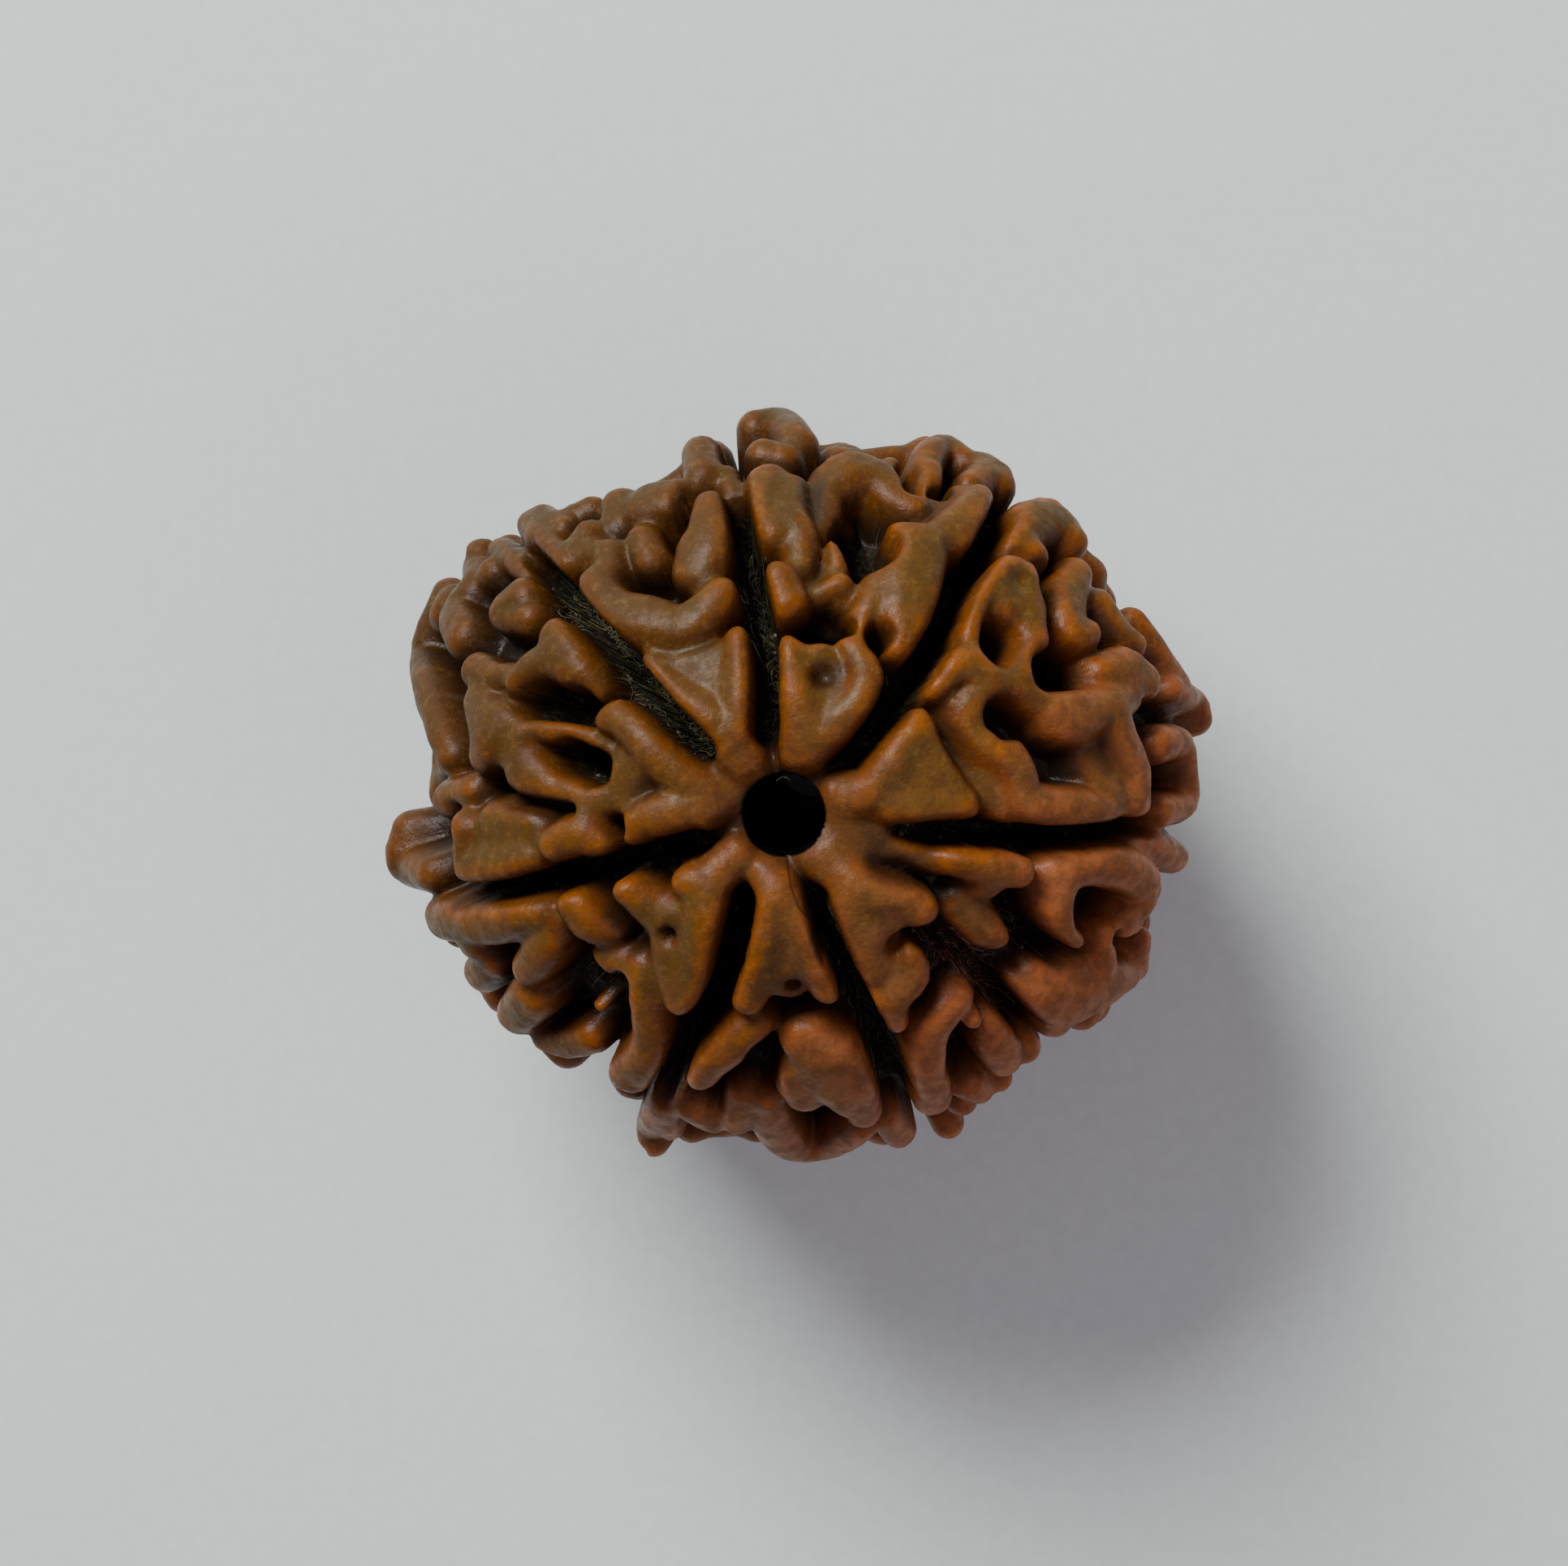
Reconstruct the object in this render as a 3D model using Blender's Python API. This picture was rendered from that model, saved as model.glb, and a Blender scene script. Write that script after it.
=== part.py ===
"""Rudraksha bead: the stone of a fruit, one natural solid bored from pole to pole.

Deep grooves run from pole to pole and part the bead into eight faces. Each face is covered by smooth
ridges, knobs and arrow-shaped wedges that stand on the body, with pits between them.
The ridges of the upper side are placed by the pixel where the reference picture shows their crest.
Those of the underside, which no picture shows, grow by a rule with a fixed seed.
"""

import math
import random

import bmesh
import bpy
import numpy as np

MM = 0.001

# The bead, in millimetres
CREST_AXES = np.array((12.35, 11.45, 10.75))  # half sizes of the ellipsoid that the ridge crests reach
BODY_DEPTH = 1.8  # from the crests down to the body between the ridges
BORE_RADIUS = 1.18
CENTRE = np.array((0.0147, -0.0625, 9.99))  # middle of the crest ellipsoid: puts the origin under the bead
EDGE_ROUND = 0.56  # radius of a ridge's shoulder
CROWN = 0.12  # how much a ridge's top falls off to its sides, per mm squared
FLARE = 0.035  # how much a ridge widens towards its foot, and a cut towards its mouth
BLEND = 0.24  # size of the fillet where two ridges, or a ridge and the body, meet
CUT_BLEND = 0.42  # the same where a ridge is cut: it rounds the edge
BORE_LENGTH = 30.0  # of its cutter, which runs out of the bead at both ends
GROUND_SIZE = 40.0  # of the block that cuts the foot flat
SIDES_OF_BORE = 28
SPLINE_STEPS = 3
SUBDIVISIONS = 7
TRIANGLES = 11400

# The reference picture: the camera looks down on the bead, a few degrees off its bore
PICTURE_MIDDLE = (966.0, 964.5)
BEAD_PIXEL = (986.0, 967.0)  # the middle of the bead's outline
PIXELS_PER_MM = 41.0
VIEW_DISTANCE = 180.0
VIEW_LEAN = (3.0, 5.0)  # degrees off the bore, towards +X and +Y
WIDEN = 0.09  # by how much a ridge is wider on each side than what was read from the picture
EDGE_STRETCH = 0.025  # how far out the crests of ridges on the outline are moved
REACH = 0.8  # how far from its flank a ridge or a cut is still felt, in mm

# Crests of the upper side: pixel across, pixel down, half width and depth below the crest ellipsoid, in mm
HUB = {
    "hub": [(963, 1005, 2.35, 0.95)],
    "hub_east": [(1040, 1015, 1.2, 0.85), (1085, 1035, 0.8, 0.85)],
    "hub_north_west": [(885, 965, 1.1, 0.85)],
}

FACE_NORTH_NORTH_WEST = {
    "wedge_left": [(794, 815, 0.3, 0.25), (830, 853, 0.42, 0.1), (870, 884, 0.55, 0.0),
                   (905, 925, 0.6, 0.35), (925, 955, 0.6, 0.8)],
    "wedge_right": [(909, 784, 0.45, 0.15), (911, 835, 0.5, 0.0), (909, 890, 0.55, 0.1)],
    "wedge_pad": [(850, 825, 0.85, 0.45), (885, 850, 0.8, 0.35)],
    "wedge_top": [(805, 812, 0.35, 0.4), (850, 812, 0.35, 0.5), (880, 800, 0.35, 0.45)],
    "horn_ridge": [(748, 678, 0.4, 0.5), (735, 700, 0.55, 0.2), (725, 715, 0.6, 0.05),
                   (745, 745, 0.7, 0.05), (785, 755, 0.75, 0.05), (830, 765, 0.7, 0.2),
                   (862, 745, 0.6, 0.15), (883, 722, 0.5, 0.1)],
    "horn_apron": [(800, 780, 0.6, 0.6), (850, 780, 0.6, 0.7)],
    "tall_lobe": [(870, 614, 0.6, 0.0), (868, 648, 0.88, 0.05), (855, 688, 0.75, 0.3)],
    "small_lobe": [(785, 655, 0.5, 0.5), (795, 680, 0.5, 0.6)],
    "block_right": [(794, 609, 0.85, 0.25), (822, 604, 0.75, 0.2)],
    "block_left": [(757, 612, 0.6, 0.5), (755, 640, 0.5, 0.8)],
    "far_left": [(722, 620, 0.4, 1.0), (700, 632, 0.4, 1.0)],
    "leaf": [(650, 640, 0.4, 0.2), (665, 665, 0.45, 0.2), (690, 690, 0.4, 0.4)],
    "leaf_back": [(665, 632, 0.3, 0.5), (690, 645, 0.3, 0.6)],
    "leaf_knob": [(718, 650, 0.45, 0.3), (705, 670, 0.6, 0.4)],
    "leaf_link": [(720, 675, 0.5, 0.5), (745, 672, 0.4, 0.4)],
    "top_knob": [(860, 545, 0.5, 0.0), (862, 575, 0.5, 0.2)],
    "top_strip": [(893, 580, 0.35, 0.7), (905, 610, 0.3, 0.9)],
}

FACE_NORTH_NORTH_EAST = {
    "wedge_left": [(972, 795, 0.42, 0.2), (978, 840, 0.5, 0.05), (988, 880, 0.55, 0.1),
                   (985, 925, 0.55, 0.5)],
    "wedge_right": [(1050, 785, 0.4, 0.35), (1070, 825, 0.45, 0.1), (1062, 858, 0.5, 0.0),
                    (1030, 890, 0.5, 0.15), (1000, 920, 0.5, 0.4)],
    "wedge_pad": [(1000, 800, 0.7, 0.4), (1020, 850, 0.8, 0.4), (1010, 890, 0.6, 0.3)],
    "wedge_link": [(1050, 785, 0.35, 0.35), (1060, 760, 0.35, 0.5), (1080, 735, 0.45, 0.4)],
    "long_ridge": [(1112, 782, 0.55, 0.3), (1125, 745, 0.8, 0.15), (1130, 700, 0.95, 0.1),
                   (1140, 660, 0.8, 0.1)],
    "long_ridge_left": [(1080, 735, 0.45, 0.5), (1095, 690, 0.5, 0.4), (1115, 655, 0.6, 0.2)],
    "upper_lobe": [(1155, 655, 0.5, 0.3), (1185, 640, 0.65, 0.2), (1205, 620, 0.6, 0.0),
                   (1212, 605, 0.4, 0.0)],
    "upper_lobe_foot": [(1195, 655, 0.55, 0.3)],
    "corner_lobe": [(1200, 590, 0.4, 0.5), (1225, 575, 0.6, 0.3), (1236, 588, 0.5, 0.5)],
    "ring_top": [(1145, 570, 0.4, 0.6), (1150, 552, 0.45, 0.3), (1168, 545, 0.45, 0.2),
                 (1195, 562, 0.35, 0.4), (1215, 567, 0.4, 0.4)],
    "ring_left": [(1150, 575, 0.25, 0.5), (1150, 600, 0.3, 0.8), (1160, 620, 0.35, 0.9),
                  (1185, 605, 0.35, 0.5)],
    "broad_lobe": [(1030, 580, 0.7, 0.5), (1055, 568, 0.8, 0.2), (1085, 578, 0.7, 0.4),
                   (1110, 600, 0.6, 0.5), (1130, 615, 0.5, 0.5)],
    "broad_lobe_side": [(1100, 570, 0.35, 0.7)],
    "pit_wall": [(1020, 600, 0.4, 0.6), (1018, 640, 0.4, 0.9)],
    "spike": [(1037, 655, 0.3, 0.6), (1035, 690, 0.4, 0.8), (1025, 710, 0.4, 1.0)],
    "low_knob": [(1000, 728, 0.35, 0.9), (1020, 722, 0.3, 0.7), (1038, 712, 0.25, 0.5),
                 (1040, 730, 0.4, 0.9)],
    "pit_floor": [(1020, 640, 0.8, 1.8), (1030, 700, 0.8, 1.6), (1055, 740, 0.5, 1.3)],
    "column_top": [(930, 516, 0.5, 0.0), (960, 513, 0.6, 0.1), (985, 535, 0.5, 0.3)],
    "column_step": [(940, 548, 0.5, 0.3), (965, 552, 0.5, 0.5)],
    "column_left": [(945, 580, 0.6, 0.1), (940, 615, 0.5, 0.1), (950, 645, 0.55, 0.2)],
    "column_right": [(975, 590, 0.45, 0.4), (970, 625, 0.6, 0.2), (985, 650, 0.5, 0.3),
                     (985, 690, 0.4, 0.5)],
    "column_foot": [(955, 705, 0.6, 0.0), (968, 730, 0.6, 0.15)],
}

FACE_WEST = {
    "wedge_upper": [(752, 880, 0.45, 0.2), (775, 900, 0.5, 0.05), (800, 930, 0.55, 0.05),
                    (835, 960, 0.6, 0.3), (870, 985, 0.6, 0.6)],
    "wedge_lower": [(780, 1015, 0.5, 0.15), (810, 1005, 0.6, 0.1), (850, 1000, 0.6, 0.4)],
    "wedge_tip": [(775, 1030, 0.35, 0.35)],
    "wedge_horn": [(740, 885, 0.25, 0.35)],
    "wedge_pad": [(770, 950, 0.8, 0.5), (760, 985, 0.6, 0.6)],
    "saddle": [(735, 990, 0.5, 0.7), (700, 1010, 0.5, 0.6)],
    "hook": [(675, 777, 0.55, 0.0), (690, 808, 0.72, 0.05), (715, 845, 0.6, 0.5)],
    "hook_arm": [(675, 800, 0.55, 0.1), (648, 815, 0.5, 0.2), (628, 835, 0.42, 0.25)],
    "round_knob": [(632, 728, 0.6, 0.2), (612, 748, 0.5, 0.35), (640, 755, 0.5, 0.5)],
    "left_lobe": [(585, 680, 0.5, 0.25), (580, 715, 0.5, 0.5), (555, 750, 0.6, 0.25),
                  (560, 780, 0.6, 0.35)],
    "left_lobe_back": [(612, 675, 0.4, 0.9), (640, 695, 0.35, 1.0), (655, 712, 0.25, 1.0)],
    "left_lobe_fill": [(600, 700, 0.5, 0.6)],
    "outer_wall": [(545, 730, 0.5, 1.0), (520, 790, 0.5, 1.0), (518, 840, 0.5, 1.0), (530, 890, 0.5, 1.1),
                   (545, 930, 0.5, 1.2)],
    "middle_top": [(575, 822, 0.5, 0.4), (600, 830, 0.45, 0.5), (620, 830, 0.4, 0.6)],
    "middle": [(580, 860, 0.6, 0.5), (590, 900, 0.8, 0.2), (585, 925, 0.6, 0.5)],
    "middle_right": [(605, 880, 0.5, 0.3), (625, 905, 0.6, 0.4)],
    "thin_ridge": [(640, 893, 0.4, 0.6), (690, 898, 0.35, 0.6), (725, 912, 0.3, 0.7),
                   (745, 930, 0.3, 0.8)],
    "pit_sill": [(625, 930, 0.6, 0.5), (640, 955, 0.7, 0.5), (680, 975, 0.5, 0.6), (730, 980, 0.5, 0.6)],
    "low_left": [(540, 985, 0.5, 1.1), (570, 975, 0.5, 0.9)],
    "end_knob": [(494, 1026, 0.55, 0.2), (489, 1062, 0.6, 0.3), (522, 1080, 0.5, 0.5)],
    "groove_ridge": [(560, 1025, 0.55, 0.15), (562, 1065, 0.6, 0.15), (600, 1072, 0.65, 0.1),
                     (640, 1060, 0.5, 0.3)],
    "groove_pad": [(600, 1030, 1.0, 0.5), (640, 1020, 0.8, 0.6)],
    "groove_lobe": [(670, 1042, 0.5, 0.15), (700, 1030, 0.55, 0.15), (725, 1040, 0.5, 0.3)],
    "groove_lobe_link": [(700, 1010, 0.5, 0.4), (725, 985, 0.5, 0.6)],
}

FACE_SOUTH_WEST = {
    "wedge": [(905, 1060, 0.6, 0.7), (872, 1092, 0.6, 0.3), (862, 1130, 0.6, 0.05),
              (860, 1180, 0.55, 0.05), (850, 1235, 0.55, 0.1)],
    "wedge_shoulder": [(845, 1095, 0.5, 0.2)],
    "wedge_pad": [(825, 1140, 0.7, 0.4), (825, 1200, 0.7, 0.3), (835, 1240, 0.6, 0.2)],
    "horn": [(765, 1103, 0.4, 0.2), (790, 1120, 0.6, 0.5), (810, 1140, 0.6, 0.6)],
    "second_lobe": [(695, 1120, 0.5, 0.3), (712, 1140, 0.6, 0.4), (740, 1155, 0.5, 0.8)],
    "rim_ridge": [(535, 1135, 0.6, 0.3), (590, 1140, 0.7, 0.1), (640, 1130, 0.6, 0.1),
                  (665, 1140, 0.5, 0.4)],
    "rim_ridge_low": [(575, 1165, 0.6, 0.4)],
    "branch": [(665, 1165, 0.5, 0.2), (655, 1180, 0.55, 0.15), (640, 1200, 0.5, 0.3)],
    "under_knob": [(583, 1205, 0.55, 1.1), (600, 1190, 0.5, 1.0)],
    "big_lobe": [(645, 1235, 0.7, 0.5), (627, 1258, 0.6, 0.5)],
    "far_rim": [(665, 1285, 0.4, 1.2), (690, 1292, 0.5, 1.2), (720, 1288, 0.5, 1.1)],
    "pit_bridge": [(740, 1190, 0.5, 0.9), (760, 1195, 0.5, 0.8), (785, 1210, 0.5, 0.6)],
    "pit_web": [(728, 1200, 0.2, 1.0), (735, 1240, 0.2, 1.2)],
    "finger": [(785, 1200, 0.45, 0.6), (785, 1240, 0.5, 0.3), (795, 1280, 0.5, 0.2),
               (790, 1310, 0.55, 0.1), (770, 1335, 0.6, 0.1)],
}

FACE_SOUTH = {
    "wedge_left": [(945, 1085, 0.6, 0.6), (950, 1120, 0.55, 0.15), (940, 1165, 0.55, 0.05),
                   (922, 1205, 0.6, 0.1), (918, 1238, 0.55, 0.15)],
    "wedge_right": [(960, 1105, 0.5, 0.3), (985, 1150, 0.5, 0.05), (1005, 1190, 0.5, 0.05),
                    (1022, 1230, 0.42, 0.15)],
    "wedge_pad": [(965, 1170, 0.8, 0.35), (965, 1210, 0.8, 0.45)],
    "wedge_lip": [(975, 1235, 0.4, 0.7)],
    "finger": [(930, 1270, 0.5, 0.7), (905, 1295, 0.6, 0.3), (870, 1320, 0.55, 0.1),
               (858, 1335, 0.5, 0.2)],
    "corner": [(815, 1360, 0.35, 1.2), (802, 1395, 0.45, 1.0), (803, 1412, 0.4, 1.0)],
    "corner_ridge": [(835, 1330, 0.25, 1.2), (822, 1370, 0.25, 1.0), (825, 1395, 0.3, 1.0)],
    "low_lobe": [(850, 1375, 0.6, 0.9), (875, 1388, 0.5, 1.0)],
    "low_lobe_right": [(915, 1360, 0.5, 1.0), (905, 1390, 0.5, 0.8)],
    "dome": [(1000, 1300, 0.9, 0.4), (1028, 1330, 1.05, 0.15), (1050, 1358, 0.85, 0.15),
             (1066, 1382, 0.5, 0.4)],
    "dome_left": [(978, 1335, 0.7, 0.5), (992, 1362, 0.6, 0.5)],
    "sill": [(945, 1365, 0.4, 0.9), (952, 1398, 0.6, 0.9), (975, 1420, 0.6, 0.8), (1015, 1420, 0.5, 0.9),
             (1045, 1410, 0.45, 0.9), (1065, 1397, 0.35, 0.8)],
    "tooth": [(1095, 1385, 0.4, 1.1), (1111, 1405, 0.45, 0.9)],
}

FACE_SOUTH_EAST = {
    "wedge_root": [(1010, 1050, 0.8, 0.75), (1040, 1080, 0.7, 0.5), (1070, 1105, 0.6, 0.1),
                   (1110, 1112, 0.5, 0.1), (1140, 1128, 0.5, 0.1)],
    "wedge_left": [(1050, 1120, 0.6, 0.2), (1068, 1160, 0.6, 0.2), (1078, 1205, 0.5, 0.2)],
    "wedge_tip": [(1095, 1240, 0.6, 0.1), (1106, 1268, 0.35, 0.3)],
    "wedge_right": [(1128, 1180, 0.35, 0.4), (1130, 1215, 0.45, 0.3), (1105, 1240, 0.5, 0.2)],
    "wedge_pad": [(1090, 1140, 0.7, 0.3), (1075, 1180, 0.6, 0.4), (1100, 1215, 0.6, 0.35)],
    "bar": [(1185, 1245, 0.5, 0.5), (1170, 1260, 0.5, 0.3), (1150, 1290, 0.6, 0.3),
            (1150, 1330, 0.55, 0.2), (1155, 1365, 0.5, 0.3)],
    "bar_nose": [(1203, 1262, 0.2, 0.45)],
    "bar_tail": [(1172, 1392, 0.4, 0.8)],
    "low_knob": [(1200, 1345, 0.5, 0.8), (1212, 1350, 0.4, 0.8)],
    "low_knob_side": [(1190, 1365, 0.4, 1.0)],
    "side_lobe": [(1225, 1275, 0.5, 0.8), (1240, 1300, 0.6, 0.6), (1245, 1315, 0.5, 0.7)],
    "side_lobe_back": [(1272, 1300, 0.4, 1.0)],
    "side_lobe_foot": [(1235, 1335, 0.35, 1.1)],
    "torn_web": [(1185, 1190, 0.2, 1.5), (1195, 1225, 0.2, 1.2)],
}

FACE_EAST_SOUTH_EAST = {
    "ridge": [(1110, 1045, 0.5, 0.85), (1150, 1060, 0.4, 0.8), (1190, 1062, 0.45, 0.3),
              (1230, 1070, 0.55, 0.15), (1268, 1078, 0.4, 0.2)],
    "ridge_flank": [(1225, 1090, 0.5, 0.6)],
    "flap": [(1195, 1115, 0.6, 1.1), (1215, 1140, 0.7, 1.0), (1238, 1155, 0.5, 0.9)],
    "flap_edge": [(1178, 1125, 0.4, 1.2), (1205, 1158, 0.45, 1.1)],
    "hook": [(1290, 1110, 0.5, 0.9), (1310, 1085, 0.6, 0.5), (1345, 1070, 0.6, 0.2),
             (1390, 1070, 0.6, 0.1), (1420, 1090, 0.6, 0.1), (1415, 1115, 0.5, 0.3),
             (1395, 1125, 0.4, 0.6)],
    "hook_branch": [(1320, 1095, 0.5, 0.3), (1315, 1130, 0.55, 0.15), (1328, 1165, 0.45, 0.15)],
    "outer_knob": [(1400, 1035, 0.4, 1.0), (1440, 1050, 0.5, 0.8), (1456, 1058, 0.4, 0.7)],
    "eye_left": [(1400, 1140, 0.25, 0.6), (1370, 1155, 0.3, 0.5), (1368, 1190, 0.4, 0.4)],
    "eye_right": [(1410, 1160, 0.3, 0.8), (1405, 1195, 0.4, 0.6)],
    "broad_lobe": [(1265, 1225, 0.5, 0.8), (1295, 1235, 0.8, 0.4), (1330, 1240, 0.9, 0.1),
                   (1370, 1220, 0.8, 0.2), (1395, 1205, 0.5, 0.4)],
    "broad_lobe_foot": [(1310, 1265, 0.5, 0.5)],
    "broad_lobe_top": [(1290, 1205, 0.6, 0.9), (1330, 1205, 0.6, 0.7)],
}

FACE_EAST_NORTH_EAST = {
    "wedge_left": [(1135, 888, 0.4, 0.25), (1120, 915, 0.5, 0.1), (1105, 945, 0.55, 0.1),
                   (1080, 975, 0.6, 0.3), (1040, 985, 0.7, 0.75)],
    "wedge_right": [(1140, 905, 0.5, 0.2), (1160, 945, 0.5, 0.25), (1190, 985, 0.45, 0.25)],
    "wedge_base": [(1195, 995, 0.4, 0.2), (1150, 995, 0.5, 0.15), (1110, 995, 0.5, 0.2)],
    "wedge_pad": [(1135, 950, 0.9, 0.3), (1130, 985, 0.8, 0.3)],
    "river": [(1160, 835, 0.5, 0.25), (1185, 815, 0.55, 0.05), (1210, 815, 0.6, 0.05),
              (1225, 840, 0.6, 0.15), (1205, 870, 0.6, 0.3), (1210, 905, 0.5, 0.35),
              (1245, 925, 0.6, 0.1), (1265, 950, 0.55, 0.1), (1275, 985, 0.6, 0.15),
              (1310, 1000, 0.65, 0.05), (1350, 1000, 0.6, 0.05), (1370, 1005, 0.4, 0.2)],
    "river_bank": [(1185, 860, 0.6, 0.7), (1200, 920, 0.6, 0.8), (1235, 965, 0.8, 0.6),
                   (1250, 1000, 0.6, 0.6)],
    "leaf_loop": [(1200, 790, 0.35, 0.3), (1200, 755, 0.45, 0.15), (1220, 715, 0.5, 0.1),
                  (1250, 695, 0.5, 0.1), (1275, 710, 0.5, 0.2), (1280, 760, 0.5, 0.3),
                  (1285, 795, 0.45, 0.3), (1265, 830, 0.5, 0.3), (1245, 835, 0.4, 0.3)],
    "leaf_pad": [(1250, 735, 0.7, 0.3)],
    "top_lobe": [(1255, 660, 0.6, 0.5), (1280, 635, 0.7, 0.2), (1310, 638, 0.7, 0.1),
                 (1327, 658, 0.5, 0.2)],
    "top_lobe_foot": [(1280, 675, 0.5, 0.4)],
    "slope": [(1335, 700, 0.5, 0.6), (1325, 740, 0.7, 0.7), (1335, 775, 0.5, 0.5), (1350, 775, 0.4, 0.5)],
    "slope_back": [(1365, 740, 0.5, 0.9), (1385, 770, 0.5, 0.9), (1405, 790, 0.4, 0.9)],
    "far_edge": [(1405, 762, 0.4, 1.1), (1430, 800, 0.4, 1.0), (1455, 838, 0.4, 0.9)],
    "boss": [(1370, 825, 0.5, 0.5), (1400, 822, 0.7, 0.2), (1420, 835, 0.6, 0.15)],
    "saddle": [(1400, 855, 0.5, 0.4), (1365, 870, 0.6, 0.3), (1330, 880, 0.8, 0.3), (1300, 865, 0.6, 0.5),
               (1265, 840, 0.5, 0.4)],
    "east_body": [(1385, 875, 0.5, 0.3), (1395, 910, 0.6, 0.3), (1410, 950, 0.6, 0.3),
                  (1410, 990, 0.6, 0.3)],
    "east_foot": [(1380, 990, 0.7, 0.4)],
    "east_pad": [(1350, 920, 0.8, 1.0), (1370, 960, 0.8, 0.7)],
    "eye_rim": [(1450, 848, 0.35, 0.8), (1475, 865, 0.45, 0.5), (1482, 885, 0.4, 0.5)],
    "edge_wall": [(1440, 915, 0.5, 0.6), (1462, 915, 0.45, 0.5), (1467, 950, 0.4, 0.6),
                  (1467, 990, 0.4, 0.6), (1440, 1000, 0.4, 0.6)],
}

FACES = (
    HUB, FACE_NORTH_NORTH_WEST, FACE_NORTH_NORTH_EAST, FACE_WEST, FACE_SOUTH_WEST, FACE_SOUTH,
    FACE_SOUTH_EAST, FACE_EAST_SOUTH_EAST, FACE_EAST_NORTH_EAST,
)

# What is cut into the body and its ridges: the same four values, where the depth is that of the floor
GROOVE_LINES = {
    "north": [(935, 893, 0.22, 2.0), (941, 830, 0.22, 3.3), (936, 765, 0.26, 3.3), (925, 700, 0.26, 3.3),
              (912, 640, 0.22, 3.2), (903, 600, 0.22, 2.8)],
    "north_east": [(1075, 905, 0.18, 2.0), (1110, 860, 0.26, 3.3), (1145, 815, 0.26, 3.4),
                   (1172, 765, 0.26, 3.4), (1195, 712, 0.26, 3.4), (1222, 665, 0.26, 3.2),
                   (1245, 622, 0.26, 2.8)],
    "east": [(1120, 1028, 0.12, 1.2), (1180, 1031, 0.26, 2.6), (1250, 1034, 0.26, 3.3),
             (1330, 1036, 0.26, 3.3), (1390, 1028, 0.22, 3.0), (1440, 1020, 0.22, 2.6)],
    "south_south_east": [(1010, 1122, 0.18, 2.0), (1022, 1170, 0.18, 3.2), (1045, 1215, 0.22, 3.4),
                         (1075, 1275, 0.26, 3.4), (1098, 1330, 0.3, 3.3), (1115, 1375, 0.3, 2.8)],
    "south_south_west": [(912, 1120, 0.22, 2.4), (898, 1180, 0.3, 3.4), (880, 1235, 0.26, 3.4),
                         (845, 1290, 0.26, 3.2), (822, 1340, 0.22, 2.8), (805, 1375, 0.22, 2.4)],
    "west": [(845, 1040, 0.22, 1.6), (800, 1058, 0.22, 3.0), (745, 1072, 0.22, 3.3),
             (680, 1090, 0.22, 3.3), (610, 1103, 0.22, 3.1), (550, 1108, 0.22, 2.6)],
    "north_west": [(862, 920, 0.22, 2.2), (825, 885, 0.22, 3.2), (785, 840, 0.26, 3.4),
                   (742, 790, 0.26, 3.4), (700, 742, 0.26, 3.3), (665, 700, 0.22, 3.0),
                   (640, 672, 0.22, 2.6)],
    "east_south_east": [(1150, 1165, 0.26, 3.0), (1195, 1190, 0.26, 3.2), (1225, 1215, 0.22, 3.0),
                        (1258, 1250, 0.22, 2.8), (1285, 1282, 0.22, 2.4)],
}

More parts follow.
